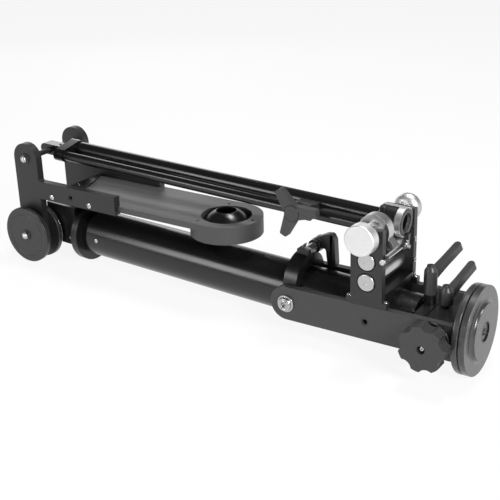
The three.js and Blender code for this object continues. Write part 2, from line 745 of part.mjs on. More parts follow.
function boomFork() {
  const width = forkBlock.halfWide;
  const flange = drum("x", fork.flange, -fork.flangeFrom, -fork.flangeTo, turnedEdge, facets.large);
  const block = box(-forkBlock.from, -fork.flangeFrom + overrun, -width, width, -forkBlock.down,
    forkBlock.up, plateEdge);
  let body = flange.add(block);
  for (const [, side] of sides) {
    const outline = new THREE.Shape();
    outline.moveTo(-forkBlock.from + 2 * overrun, -forkBlock.arm);
    outline.lineTo(-forkBlock.from + 2 * overrun, forkBlock.arm);
    outline.absarc(-fork.axle, 0, forkBlock.arm, quarter, 3 * quarter, false);
    outline.closePath();
    body = body.add(slab("xz", outline, ...span(side, fork.armIn, fork.armOut)));
  }
  add(boomFrame, "boom_fork", drilled(body, [[-fork.axle, 0, axle.radius + clearance]]), finish.black);
}

// Radii and places outwards along the axle: inner disc, bracket plate, pad, outer disc, head
const bracketInside = bracket.outside - bracket.thick;
const discBack = disc.face - disc.thick;

// A shaft through both sides, with a washer and a head at each end
function headedShaft(size, seat) {
  const cap = seat + size.washerThick;
  const top = cap + size.headTall;
  const half = [
    [size.radius, 0],
    [size.radius, seat],
    [size.washer, seat],
    [size.washer, cap],
    [size.head, cap],
    [size.head, top - turnedEdge],
    [size.head - turnedEdge, top],
    [0, top],
  ];
  return turned("y", [...sided(-1, half).reverse().slice(0, -1), ...half.slice(1)]);
}

function axleBody() {
  const body = headedShaft(axle, disc.face + clearance).translate([-fork.axle, 0, 0]);
  add(boomFrame, "front_axle", body, finish.silver);
}

function frictionDiscs(name, side) {
  const bore = axle.radius + clearance;
  const at = [-fork.axle, 0, 0];
  const outer = sleeve("y", disc.radius, bore, ...span(side, discBack, disc.face), disc.edge, facets.large);
  const padSpan = span(side, bracket.outside + clearance, discBack - clearance);
  const middle = pipe("y", pad.radius, bore, ...padSpan, facets.large);
  const innerSpan = span(side, fork.armOut + clearance, bracketInside - clearance);
  const backing = sleeve("y", innerDisc.radius, bore, ...innerSpan, disc.edge, facets.large);
  add(boomFrame, "friction_disc_" + name, outer.translate(at), finish.grey);
  add(boomFrame, "friction_pad_" + name, middle.translate(at), finish.pad);
  add(boomFrame, "inner_disc_" + name, backing.translate(at), finish.grey);
}

// Camera bracket
function sidePlate(name, side) {
  const outline = new THREE.Shape();
  outline.absarc(0, 0, bracket.halfWide, 2 * quarter, 4 * quarter, false);
  outline.lineTo(bracket.halfWide, leg.low);
  outline.lineTo(leg.reach, leg.low);
  outline.lineTo(leg.reach, leg.high);
  outline.lineTo(bracket.halfWide + leg.corner, leg.high);
  outline.lineTo(bracket.halfWide, leg.high + leg.corner);
  outline.absarc(0, bracket.height, bracket.halfWide, 0, 2 * quarter, false);
  outline.closePath();
  const body = drilled(slab("xz", outline, ...span(side, bracketInside, bracket.outside)), [
    [0, 0, axle.radius + clearance],
    [0, bracket.height, cross.radius + clearance],
    [leg.holeAlong, leg.holeUp, leg.hole],
  ]);
  add(bracketFrame, "side_plate_" + name, body, finish.grey);
}

function crossShaft() {
  const body = headedShaft(cross, bracket.outside + clearance).translate([0, 0, bracket.height]);
  add(bracketFrame, "cross_shaft", body, finish.silver);
}

function cameraPlatform() {
  const low = platform.top - platform.thick;
  const between = bracketInside - clearance;
  const shoulder = leg.reach + clearance;
  const outline = new THREE.Shape();
  outline.moveTo(platform.start, -between);
  outline.lineTo(shoulder, -between);
  outline.lineTo(shoulder, -platform.halfWide);
  outline.lineTo(ring.along, -platform.halfWide);
  outline.lineTo(ring.along, platform.halfWide);
  outline.lineTo(shoulder, platform.halfWide);
  outline.lineTo(shoulder, between);
  outline.lineTo(platform.start, between);
  outline.closePath();
  outline.holes.push(circle(platform.dotAlong, platform.dotAway, platform.dot));
  const ringFoot = platform.top - ring.deep;
  const seatTop = ringFoot + bowl.seatDeep;
  const cut = (radius, from, to) =>
    rod("z", radius, from, to, facets.large).translate([ring.along, 0, 0]);
  const rim = drum("z", ring.outer, ringFoot, platform.top, plateEdge, facets.large)
    .translate([ring.along, 0, 0]);
  let body = slab("xy", outline, low, platform.top)
    .add(rim)
    .subtract(cut(ring.bore, ringFoot - overrun, platform.top + overrun))
    .subtract(cut(bowl.seat, ringFoot - overrun, seatTop));
  for (let i = 0; i < ring.holes; i++) {
    const angle = (2 * Math.PI * i) / ring.holes;
    const hole = rod("z", ring.hole, platform.top - ring.holeDeep, platform.top + overrun, facets.small);
    body = body.subtract(
      hole.translate([ring.along + ring.pitch * Math.cos(angle), ring.pitch * Math.sin(angle), 0]),
    );
  }
  add(bracketFrame, "camera_platform", body, finish.grey);
}

function cameraBowl() {
  const outside = bowl.ball + bowl.wall;
  const foot = platform.top - ring.deep + clearance - bowl.centre;
  const steps = 2 * facets.bend;
  const rise = (radius, height) => Math.atan2(height, Math.sqrt(radius ** 2 - height ** 2)) / quarter;
  const hole = (radius) => Math.acos(bowl.opening / radius) / quarter;
  const outer = arc(0, 0, outside, outside, rise(outside, foot), hole(outside), steps);
  const inside = arc(0, 0, bowl.ball, bowl.ball, hole(bowl.ball), rise(bowl.ball, foot), steps);
  const profile = [...outer, ...inside, outer[0]].map(([radius, up]) => [radius, up + bowl.centre]);
  const body = turned("z", profile, facets.large).translate([ring.along, 0, 0]);
  add(bracketFrame, "camera_bowl", body, finish.black);
}

basePlate();
panPlate();
panHub();
trunnionBolt("near", -1);
trunnionBolt("far", 1);
yokeBar("near", -1);
yokeBar("far", 1);
dragFlange();
dragKnob();
ratchetLever("front", frontLever, frontAhead);
ratchetLever("rear", rearLever, rearAhead);
boomTube();
clampCollar();
collarStud();
collarLever();
headSaddle();
for (const [name, side] of sides) headPlate(name, side);
headShafts();
pivotShaft();
pivotRing();
linkClampBody();
knobs();
linkTubeBody();
linkRodBody();
linkLock();
teeKnob();
innerTube();
boomFork();
axleBody();
for (const [name, side] of sides) frictionDiscs(name, side);
for (const [name, side] of sides) sidePlate(name, side);
crossShaft();
cameraPlatform();
cameraBowl();

// The row's origin: the bottom centre of the whole part's box
crane.updateMatrixWorld(true);
const bounds = new THREE.Box3().setFromObject(crane, true);
const middle = bounds.getCenter(new THREE.Vector3());
boomFrame.position.set(-middle.x, -middle.y, -bounds.min.z);
crane.updateMatrixWorld(true);

export default crane;
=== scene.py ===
import json
import math

import bmesh
import bpy
from mathutils import Matrix, Vector

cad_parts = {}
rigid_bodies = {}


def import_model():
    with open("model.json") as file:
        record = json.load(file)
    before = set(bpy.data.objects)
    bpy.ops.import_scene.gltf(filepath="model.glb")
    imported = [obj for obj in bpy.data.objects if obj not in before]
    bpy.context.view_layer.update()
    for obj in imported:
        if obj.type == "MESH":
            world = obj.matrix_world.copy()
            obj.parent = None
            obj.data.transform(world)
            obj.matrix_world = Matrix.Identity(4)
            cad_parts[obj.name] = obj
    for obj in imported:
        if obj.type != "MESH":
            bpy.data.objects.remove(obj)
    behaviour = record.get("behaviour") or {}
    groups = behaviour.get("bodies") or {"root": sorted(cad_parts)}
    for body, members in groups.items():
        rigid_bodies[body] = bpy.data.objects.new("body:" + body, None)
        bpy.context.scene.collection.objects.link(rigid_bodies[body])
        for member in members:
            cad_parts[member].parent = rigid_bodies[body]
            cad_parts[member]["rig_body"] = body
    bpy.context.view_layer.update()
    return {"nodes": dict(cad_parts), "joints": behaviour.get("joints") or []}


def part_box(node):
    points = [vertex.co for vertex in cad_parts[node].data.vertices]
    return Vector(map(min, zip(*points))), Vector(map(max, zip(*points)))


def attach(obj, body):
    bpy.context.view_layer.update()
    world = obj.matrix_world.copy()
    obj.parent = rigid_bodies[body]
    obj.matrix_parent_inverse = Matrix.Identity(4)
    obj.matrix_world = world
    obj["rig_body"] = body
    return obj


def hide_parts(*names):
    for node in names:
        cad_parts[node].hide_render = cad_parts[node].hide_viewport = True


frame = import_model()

# Frames of the crane's parts, in which pieces are made in millimetres
joints = {joint["name"]: joint for joint in frame["joints"]}
trunnion_place = Vector(joints["yoke_fold"]["pos_m"])
axle_place = Vector(joints["camera_tilt"]["pos_m"])
yoke_line = Vector(joints["base_pan"]["axis"])
shaft_low, shaft_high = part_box("cross_shaft")
shaft_place = (shaft_low + shaft_high) / 2
fold = math.atan2(yoke_line.z, yoke_line.x)
hang = math.atan2(axle_place.x - shaft_place.x, shaft_place.z - axle_place.z)
millimetre = 0.001
BOOM = Matrix.Translation(trunnion_place) @ Matrix.Scale(millimetre, 4)
YOKE = Matrix.Translation(trunnion_place) @ Matrix.Rotation(-fold, 4, "Y") @ Matrix.Scale(millimetre, 4)
BRACKET = Matrix.Translation(axle_place) @ Matrix.Rotation(-hang, 4, "Y") @ Matrix.Scale(millimetre, 4)

NEAR, FAR = ("near", -1), ("far", 1)
TURNS = {
    "x": Matrix.Rotation(math.pi / 2, 4, "Y"),
    "y": Matrix.Rotation(-math.pi / 2, 4, "X"),
    "z": Matrix.Identity(4),
}
AXES = {"x": Vector((1, 0, 0)), "y": Vector((0, 1, 0)), "z": Vector((0, 0, 1))}
ALONG, ACROSS = AXES["x"], AXES["y"]

# Steps round a full turn
FINE, ROUND, SMALL = 144, 72, 32
# Distances at which points of a blank are welded, and the angle from which an edge counts as sharp
TURNED_WELD, WELD = 1e-4, 1e-3
SHARP = math.radians(32)

# Sizes in the boom's frame, the same as in the solids
TUBE = {"radius": 38.1, "bore": 34.9, "front": -396.0, "back": 182.0, "seat": 38.4}
INNER = {"radius": 34.5, "bore": 31.5, "front": -406.7, "back": -181.7}
COLLAR = {"radius": 42.0, "lift": 18.0, "front": -13, "back": 8}
CLAMP_PIN = {"ahead": 2, "up": 62, "radius": 7, "bore": 7.3}
LINK = {"radius": 12.7, "bore": 10.5, "away": 18.0, "up": 131.8, "front": -456, "back": 140}
ROD = {"radius": 7.7, "away": -17.7, "up": 130.0, "front": -449, "back": 91}
ROD_BLOCK = {"front": -466, "back": -448, "wall": 2.6}
LOCK = {"front": -13.5, "back": 16.5, "near": -27, "far": 12, "low": 122, "top": 138}
LOCK_AT = (1.5, 0, ROD["up"] + 5)
AXLE_AT = (-491.7, 0, 0)
FORK = {"front": -480, "back": -418, "wide": 38, "low": -17, "top": 50, "arm": 25}
DISC_BORE = 7.3

# Sizes in the yoke's frame
BAR = {"inside": 44.2, "thick": 10.0, "half": 25.4, "reach": 247.7}
GAP = 0.3
BETWEEN = BAR["inside"] - GAP
OUTSIDE = BAR["inside"] + BAR["thick"]
TRUNNION_BORE = 9.3
SPARE_HOLE = {"at": (124.3, 0, 1.3), "bore": 3.7, "seat": 5.4}
PAN = {"back": 248.0, "front": 257.7, "bore": 12.3}
BASE = {"back": 259.3, "face": 267.8, "boss": 273.0, "radius": 62.0}
SPINDLE = {"radius": 12, "tip": 229.3}
HUB_LENGTH = 58
DRAG_AT = (220.5, 0, 0)
DRAG_STUD = 5.7
LEVER_AHEAD = {"front": 194, "rear": 217}
LEVER_STUD = {"radius": 5, "bore": 5.3}
LEVER_RISE = math.degrees(math.atan2(29.5, 57))
HEAD_AT, HEAD_HALF, HEAD_TOP = 125.85, 23.3, 136
FEET = {"front": 96, "back": 155.6, "low": 25.7, "top": 34.5}
SHAFT_UP = {"upper": 89.7, "lower": 59.8}
PIVOT_UP = 126.6
PIVOT_AT = (HEAD_AT, 0, PIVOT_UP)
PIVOT_STUD = {"radius": 5.7, "bore": 6}
SPLIT = 44

# Sizes in the camera bracket's frame
LEG = {"half": 25.4, "inside": 50.3, "outside": 63, "reach": 187.4, "low": 63.8, "top": 93.5}
CROSS_UP, CROSS_RADIUS = 128.9, 4.6
DECK = {"front": 54, "neck": 187.7, "half": 50, "low": 67.5, "top": 77.0}
RING = {"at": 355.3, "radius": 55.8, "low": 49.7, "bore": 38.6, "holes": 47.2}
BOWL = {"outside": 40.3, "inside": 37.5, "centre": 47.0, "foot": 3.0, "hole": 15.6}


# ---------------------------------------------------------------- blanks
def spun(axis, profile, at=(0, 0, 0), steps=ROUND):
    """A turned blank from its profile of (radius, distance along the axis)."""
    blank = bmesh.new()
    points = [blank.verts.new((radius, 0, along)) for radius, along in profile]
    edges = [blank.edges.new(pair) for pair in zip(points, points[1:])]
    bmesh.ops.spin(blank, geom=points + edges, cent=(0, 0, 0), axis=(0, 0, 1), dvec=(0, 0, 0),
                   angle=2 * math.pi, steps=steps, use_merge=True, use_duplicate=False)
    bmesh.ops.remove_doubles(blank, verts=blank.verts, dist=TURNED_WELD)
    blank.transform(Matrix.Translation(at) @ TURNS[axis])
    bmesh.ops.recalc_face_normals(blank, faces=blank.faces)
    return blank


def drum(axis, radius, low, high, at=(0, 0, 0), steps=ROUND):
    return spun(axis, [(0, low), (radius, low), (radius, high), (0, high)], at, steps)


def pipe(axis, radius, bore, low, high, at=(0, 0, 0), steps=ROUND):
    return spun(axis, [(bore, low), (radius, low), (radius, high), (bore, high), (bore, low)], at, steps)


def arc(radius_at, along_at, across, along, start, end, steps=10):
    """Points of a profile on part of an ellipse, between two angles in degrees."""
    angles = [math.radians(start + (end - start) * i / steps) for i in range(steps + 1)]
    return [(radius_at + across * math.cos(a), along_at + along * math.sin(a)) for a in angles]


def plate(plane, corners, low, high, rounds=None, steps=12):
    """A flat blank from the corners of its outline, some rounded, pushed out across its plane."""
    across = {"xz": "y", "yz": "x", "xy": "z"}[plane]
    layout = {"xz": lambda u, v: (u, low, v), "yz": lambda u, v: (low, u, v), "xy": lambda u, v: (u, v, low)}
    just_short = 0.9999
    blank = bmesh.new()
    points = [blank.verts.new(layout[plane](u, v)) for u, v in corners]
    blank.faces.new(points)
    for radius in sorted(set((rounds or {}).values())):
        chosen = [points[i] for i, own in rounds.items() if own == radius]
        bmesh.ops.bevel(blank, geom=chosen, offset=radius * just_short, offset_type="OFFSET", segments=steps,
                        profile=0.5, affect="VERTICES", material=-1)
    pushed = bmesh.ops.extrude_face_region(blank, geom=list(blank.faces))
    tops = [item for item in pushed["geom"] if isinstance(item, bmesh.types.BMVert)]
    bmesh.ops.translate(blank, verts=tops, vec=AXES[across] * (high - low))
    bmesh.ops.remove_doubles(blank, verts=blank.verts, dist=WELD)
    bmesh.ops.recalc_face_normals(blank, faces=blank.faces)
    return blank


def block(x, y, z):
    return plate("xy", [(x[0], y[0]), (x[1], y[0]), (x[1], y[1]), (x[0], y[1])], *z)


def six_sided(radius, depth):
    blank = bmesh.new()
    bmesh.ops.create_cone(blank, cap_ends=True, segments=6, radius1=radius, radius2=radius, depth=depth)
    return blank


def turned_by(blank, degrees, axis):
    blank.transform(Matrix.Rotation(math.radians(degrees), 4, axis.upper()))
    return blank


def moved(blank, by):
    blank.transform(Matrix.Translation(by))
    return blank


def facing(blank, point, normal):
    """Turns a blank made along Z to stand on a point along a normal."""
    turn = Vector(normal).to_track_quat("Z", "Y").to_matrix().to_4x4()
    blank.transform(Matrix.Translation(point) @ turn)
    return blank


def span(side, inside, outside):
    return (inside, outside) if side > 0 else (-outside, -inside)


def sided(side, profile):
    return [(radius, side * along) for radius, along in profile]


def both_ends(end):
    """The profile of a shaft from the profile of its far end."""
    return list(reversed(sided(-1, end)))[:-1] + end[1:]


def loose(blank, name="blank"):
    mesh = bpy.data.meshes.new(name)
    blank.to_mesh(mesh)
    blank.free()
    thing = bpy.data.objects.new(name, mesh)
    bpy.context.scene.collection.objects.link(thing)
    return thing


def joined(blanks, cuts=()):
    """One closed blank from several that are united and then cut."""
    body = loose(blanks[0])
    helpers = []
    for operation, others in (("UNION", blanks[1:]), ("DIFFERENCE", cuts)):
        for other in others:
            helper = loose(other)
            helpers.append(helper)
            step = body.modifiers.new(operation, "BOOLEAN")
            step.operation, step.solver, step.object = operation, "EXACT", helper
    bpy.context.view_layer.update()
    whole = bpy.data.meshes.new_from_object(body.evaluated_get(bpy.context.evaluated_depsgraph_get()))
    for thing in [body, *helpers]:
        old = thing.data
        bpy.data.objects.remove(thing)
        bpy.data.meshes.remove(old)
    blank = bmesh.new()
    blank.from_mesh(whole)
    bpy.data.meshes.remove(whole)
    bmesh.ops.remove_doubles(blank, verts=blank.verts, dist=WELD)
    return blank


def together(blanks):
    """Several separate blanks kept in one piece."""
    gathered = bmesh.new()
    for blank in blanks:
        mesh = bpy.data.meshes.new("gathered")
        blank.to_mesh(mesh)
        blank.free()
        gathered.from_mesh(mesh)
        bpy.data.meshes.remove(mesh)
    return gathered


def finished(name, blank, place, material, replaces=(), body=None, rim_highlight=0.6):
    """Places a blank, rounds its edges, gives it its finish and sets it on its body."""
    mesh = bpy.data.meshes.new(name)
    blank.to_mesh(mesh)
    blank.free()
    mesh.transform(place)
    mesh.polygons.foreach_set("use_smooth", [True] * len(mesh.polygons))
    mesh.set_sharp_from_angle(angle=SHARP)
    piece = bpy.data.objects.new(name, mesh)
    bpy.context.scene.collection.objects.link(piece)
    mesh.materials.append(material)
    if rim_highlight:
        rounding = piece.modifiers.new("Edges", "BEVEL")
        rounding.limit_method, rounding.angle_limit = "ANGLE", SHARP
        rounding.width, rounding.segments, rounding.profile = rim_highlight * millimetre, 2, 0.5
        rounding.use_clamp_overlap = True
        rounding.loop_slide = True
        flats = piece.modifiers.new("Flats", "WEIGHTED_NORMAL")
        flats.keep_sharp = True
    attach(piece, body or frame["nodes"][replaces[0]]["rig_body"])
    if replaces:
        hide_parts(*replaces)


def bright(name, blank, place, material, replaces=(), body=None, rim_highlight=0.3):
    finished(name, blank, place, material, replaces, body, rim_highlight)


# ---------------------------------------------------------------- finishes
class Socket:
    """An output socket in a tree of nodes: sums written with it add Math nodes."""

    def __init__(self, graph, socket):
        self.graph, self.socket = graph, socket

    def math(self, operation, *others):
        return self.graph.node("ShaderNodeMath", {"operation": operation}, [self, *others])

    def __add__(self, other):
        return self.math("ADD", other)

    def __mul__(self, other):
        return self.math("MULTIPLY", other)

    __radd__, __rmul__ = __add__, __mul__


class Graph:
    """The tree of nodes of a material or of the world, and the shader that they feed."""

    def __init__(self, holder, shader):
        holder.use_nodes = True
        self.tree = holder.node_tree
        self.shader = self.tree.nodes[shader]

    def node(self, kind, settings=None, inputs=(), out=0):
        """A node from its type, its settings and the values or links of its sockets."""
        made = self.tree.nodes.new(kind)
        for key, value in (settings or {}).items():
            setattr(made, key, value)
        pairs = inputs.items() if isinstance(inputs, dict) else enumerate(inputs)
        for key, value in pairs:
            if isinstance(value, Socket):
                self.tree.links.new(value.socket, made.inputs[key])
            else:
                made.inputs[key].default_value = value
        return Socket(self, made.outputs[out])

    def feed(self, socket, value):
        self.tree.links.new(value.socket, self.shader.inputs[socket])


class Finish(Graph):
    """A material built up from nodes on the object's own coordinates."""

    def __init__(self, name, **steady):
        self.material = bpy.data.materials.new(name)
        super().__init__(self.material, "Principled BSDF")
        for socket, value in steady.items():
            self.shader.inputs[socket].default_value = value
        self.place = self.node("ShaderNodeTexCoord", out="Object")

    def noise(self, scale, detail, stretch=None):
        place = self.place
        if stretch:
            place = self.node("ShaderNodeMapping", {}, {"Vector": place, "Scale": stretch})
        return self.node("ShaderNodeTexNoise", {}, {"Vector": place, "Scale": scale, "Detail": detail})

    def steps(self, value, low, high):
        """0 below low, 1 above high, smooth between."""
        return self.node("ShaderNodeMapRange", {"interpolation_type": "SMOOTHSTEP"},
                         {"Value": value, "From Min": low, "From Max": high})

    def blend(self, share, first, second):
        return self.node("ShaderNodeMix", {"data_type": "RGBA"}, {0: share, 6: first, 7: second}, out=2)

    def bump(self, height, strength, depth):
        return self.node("ShaderNodeBump", {}, {"Height": height, "Strength": strength, "Distance": depth})

    def radius_from(self, centre, line):
        """Distance in metres from an axis through the centre along the line."""
        offset = self.node("ShaderNodeVectorMath", {"operation": "SUBTRACT"}, [self.place, tuple(centre)])
        crossed = self.node("ShaderNodeVectorMath", {"operation": "CROSS_PRODUCT"}, [offset, tuple(line)])
        return self.node("ShaderNodeVectorMath", {"operation": "LENGTH"}, [crossed], out="Value")


def grey(level):
    return (level, level, level, 1)


def anodised(name, level, rough=0.38, metal=0.0, wear=0.25):
    """Black anodised aluminium: a fine etched grain, dull patches and small rubbed scuffs."""
    made = Finish(name, Metallic=metal)
    cloud = made.noise(14, 4)
    grain = made.noise(2600, 2)
    scuffs = made.steps(made.noise(90, 5, (1, 1, 2.5)) * made.noise(700, 2), 0.38, 0.48) * wear
    tone = made.blend(cloud, grey(level * 0.85), grey(level * 1.15))
    made.feed("Base Color", made.blend(scuffs, tone, grey(level * 1.8 + 0.01)))
    made.feed("Roughness", cloud * 0.12 + grain * 0.06 + (rough - 0.09))
    made.feed("Normal", made.bump(grain, 0.12, 0.00008))
    return made.material


def turned_metal(name, level, centre, line, rough=0.3, metal=1.0, pitch=500, depth=0.06):
    """Turned metal: fine rings round its own axis, pitch to the metre, of uneven depth."""
    made = Finish(name, Metallic=metal)
    radius = made.radius_from(centre, line)
    rings = (radius * pitch * 6.2832).math("SINE")
    uneven = made.noise(60, 3)
    cut = rings * uneven
    smears = made.noise(25, 4)
    tone = made.blend(smears, grey(level * 0.86), grey(min(1.0, level * 1.08)))
    rubs = made.steps(made.noise(260, 3), 0.6, 0.75) * 0.25
    made.feed("Base Color", made.blend(rubs, tone, grey(level * 0.6)))
    made.feed("Roughness", smears * 0.1 + uneven * 0.06 + (rough - 0.08))
    made.feed("Normal", made.bump(cut, depth, 0.00005))
    return made.material


def brushed_metal(name, level, stretch, rough, metal=1.0):
    """Milled or drawn metal with fine lines along one direction."""
    made = Finish(name, Metallic=metal)
    lines = made.noise(400, 3, stretch)
    smears = made.noise(30, 4)
    tone = made.blend(smears, grey(level * 0.84), grey(min(1.0, level * 1.1)))
    made.feed("Base Color", tone)
    made.feed("Roughness", lines * 0.14 + smears * 0.1 + (rough - 0.12))
    made.feed("Normal", made.bump(lines, 0.2, 0.00008))
    return made.material


def moulded(name, level, rough=0.42):
    """Moulded or powder-coated black with a pebbled skin."""
    made = Finish(name)
    pebbles = made.noise(1300, 3)
    cloud = made.noise(20, 3)
    made.feed("Base Color", made.blend(cloud, grey(level * 0.8), grey(level * 1.25)))
    made.feed("Roughness", cloud * 0.12 + (rough - 0.06))
    made.feed("Normal", made.bump(pebbles, 0.3, 0.00015))
    return made.material


def friction_pad(name):
    """Dense fibre pad with a dry, speckled edge."""
    made = Finish(name)
    fibres = made.noise(1800, 4, (1, 0.4, 1))
    made.feed("Base Color", made.blend(fibres, grey(0.008), grey(0.04)))
    made.feed("Roughness", fibres * 0.15 + 0.75)
    made.feed("Normal", made.bump(fibres, 0.5, 0.0002))
    return made.material


def at_point(place, point):
    return place @ Vector(point)


black = anodised("black_anodised", 0.008, 0.3)
satin = anodised("satin_black_anodised", 0.026, 0.42, 0.2)
tube_black = anodised("black_anodised_tube", 0.006, 0.22, wear=0.12)
bar_grey = anodised("dark_grey_anodised", 0.055, 0.4, 0.3)
deck_grey = anodised("grey_anodised_deck", 0.07, 0.5, 0.2)
plate_grey = anodised("grey_black_anodised", 0.013, 0.42)
knob_grey = anodised("hard_anodised", 0.05, 0.27, 0.3, wear=0.35)
knob_black = moulded("moulded_black", 0.012)
lever_black = moulded("coated_lever", 0.038, 0.34)
pad_black = friction_pad("friction_pad")
steel = brushed_metal("stainless_steel", 0.55, (1, 1, 0.1), 0.3)
screw_steel = brushed_metal("screw_steel", 0.6, (1, 1, 1), 0.26)
dark_steel = brushed_metal("blackened_steel", 0.05, (1, 1, 1), 0.35, 0.6)
base_turned = turned_metal("base_disc_turned", 0.085, trunnion_place, yoke_line, 0.26, 0.55, 900, 0.05)
disc_turned = turned_metal("disc_turned", 0.026, at_point(BOOM, AXLE_AT), ACROSS, 0.36, 0.0, 700, 0.1)
clamp_turned = turned_metal("clamp_turned", 0.7, at_point(BOOM, (0, LINK["away"], LINK["up"])), ALONG, 0.44)
pivot_turned = turned_metal("pivot_turned", 0.62, at_point(YOKE, PIVOT_AT), ACROSS, 0.36)
face_turned = turned_metal("pivot_knob_turned", 0.86, at_point(YOKE, PIVOT_AT), ACROSS, 0.5, depth=0.04)
ball_turned = turned_metal("pivot_ball_turned", 0.6, at_point(YOKE, PIVOT_AT), ACROSS, 0.46, depth=0.04)


# ---------------------------------------------------------------- screws and nuts
def screw(radius, tall, dome):
    """A socket screw's head standing on Z 0, with its six-sided socket."""
    socket_share, depth_share, crown_share = 0.55, 1.2, 0.7
    head = spun("z", [(0, 0), (radius, 0), (radius, tall - dome), (radius * crown_share, tall), (0, tall)],
                steps=SMALL)
    return joined([head], [moved(six_sided(radius * socket_share, tall * depth_share), (0, 0, tall))])


def screws(name, place, body, shape, points, normal, material=screw_steel):
    """Equal screws of one shape (radius, height, dome), kept in one piece."""
    heads = [facing(screw(*shape), point, normal) for point in points]
    bright(name, together(heads), place, material, body=body, rim_highlight=0.25)


def cap_nuts(name, at, place, seat, body):
    """A domed six-sided nut at each end of a shaft."""
    across, tall = 6.4, 2.6
    nuts = []
    for _, side in (NEAR, FAR):
        dome = spun("z", [(0, 1), (4.9, 1), (4.9, 1.8), (4.2, 3.1), (2.6, 4), (0, 4.4)], steps=SMALL)
        centre = Vector(at) + Vector((0, side * (seat + tall / 2), 0))
        nuts.append(facing(joined([six_sided(across, tall), dome]), centre, (0, side, 0)))
    bright(name, together(nuts), place, screw_steel, body=body, rim_highlight=0.4)


# ---------------------------------------------------------------- tripod base and pan plate
def tripod_base():
    back, face, boss, rim = BASE["back"], BASE["face"], BASE["boss"], BASE["radius"]
    recess, floor, mouth, bore, seat, end = 15, boss - 1.8, 6.6, 4.8, boss - 3.4, boss - 22
    tip, spindle, chamfer = SPINDLE["tip"], SPINDLE["radius"], 0.6
    profile = [(0, tip), (spindle - chamfer, tip), (spindle, tip + chamfer), (spindle, back), (rim, back),
               (rim, face), *arc(46, boss, 6.5, 5.2, -90, -180), (recess, boss), (recess, floor),
               (mouth, floor), (bore, seat), (bore, end), (0, end)]
    finished("base_plate_turned", spun("x", profile, steps=FINE), YOKE, base_turned, ["base_plate"], rim_highlight=1.0)
    # A black ring lining the recess's wall and the outer edge of its floor: painted shade where the recess's
    # far wall lies in shadow.
    recess_shade_ring = pipe("x", 15.4, 13.2, boss - 1.9, boss + 0.15, steps=FINE)
    finished("base_recess_painted_shade", recess_shade_ring, YOKE, black, body="base", rim_highlight=0.2)
    crest, root, pitch, turns = 4.75, 4.1, 1.5, 8
    rings = [(radius, boss - 4 - turn * pitch + step) for turn in range(turns)
             for radius, step in ((crest, 0), (root, -pitch / 2))]
    thread = [(crest, seat), *rings, (crest, boss - 17)]
    bright("base_screw_thread", spun("x", thread, steps=SMALL), YOKE, dark_steel, body="base", rim_highlight=0)


def pan_plate():
    back, front, bore, rim = PAN["back"], PAN["front"], PAN["bore"], BASE["radius"]
    soft, chamfer = 3.5, 1.2
    profile = [(bore, back), (rim - soft, back), *arc(rim - soft, back + soft, soft, soft, -80, 0, 8),
               (rim, front - chamfer), (rim - chamfer, front), (bore, front), (bore, back)]
    finished("pan_plate_turned", spun("x", profile, steps=FINE), YOKE, base_turned, ["pan_plate"], rim_highlight=0.3)


def pan_hub():
    half, reach = BAR["half"], BAR["reach"]
    outline = [(-BETWEEN, -half), (BETWEEN, -half), (BETWEEN, half), (-BETWEEN, half)]
    body = plate("yz", outline, reach - HUB_LENGTH, reach)
    cuts = [drum("x", PAN["bore"], 180, reach - 4), block((205.5, 207.1), (-50, 50), (half - 9, half + 5))]
    cuts += [drum("z", LEVER_STUD["bore"], 11, 30, (ahead, 0, 0), SMALL) for ahead in LEVER_AHEAD.values()]
    finished("pan_hub_milled", joined([body], cuts), YOKE, black, ["pan_hub"], rim_highlight=0.8)


# ---------------------------------------------------------------- yoke
def yoke_bars():
    half, reach, inside = BAR["half"], BAR["reach"], BAR["inside"]
    outline = [(-half, -half), (reach, -half), (reach, half), (-half, half)]
    hole, bore, seat = SPARE_HOLE["at"], SPARE_HOLE["bore"], SPARE_HOLE["seat"]
    for name, side in (NEAR, FAR):
        body = plate("xz", outline, *span(side, inside, OUTSIDE), {0: half, 3: half}, 20)
        through = span(side, 40, 60)
        cuts = [drum("y", TRUNNION_BORE, *through), drum("y", bore, *through, hole, SMALL),
                drum("y", seat, *span(side, OUTSIDE - 0.7, 60), hole, SMALL)]
        if side < 0:
            cuts.append(drum("y", DRAG_STUD + GAP, -60, -40, DRAG_AT))
        finished(f"yoke_bar_{name}_milled", joined([body], cuts), YOKE, bar_grey, [f"yoke_bar_{name}"],
                 rim_highlight=0.9)
        insert = pipe("y", seat - 0.1, bore - GAP, *span(side, inside + 0.4, OUTSIDE - 0.5), hole, SMALL)
        bright(f"thread_insert_{name}", insert, YOKE, dark_steel, body="yoke")
    points = [(205, OUTSIDE, 15), (236, OUTSIDE, 15), (205, OUTSIDE, -15), (236, OUTSIDE, -15)]
    screws("hub_screws_far", YOKE, "yoke", (4.6, 2.2, 1), points, (0, 1, 0), dark_steel)


def trunnion_bolts():
    profile = [(0, 39), (9, 39), (9, 54.5), (12.9, 54.5), (12.9, 56.2), (11.6, 56.5), (10.4, 57),
               (10.4, 59.6), (9.2, 60.9), (7.4, 61), (6.8, 60.4), (6.1, 60.4), (5.6, 61), (4.2, 61),
               (4.2, 57.2), (0, 56.8)]
    for name, side in (NEAR, FAR):
        metal = turned_metal(f"trunnion_{name}_turned", 0.5, at_point(YOKE, (0, 0, 0)), ACROSS)
        bright(f"trunnion_bolt_{name}_turned", spun("y", sided(side, profile)), YOKE, metal,
               [f"trunnion_bolt_{name}"], rim_highlight=0.5)


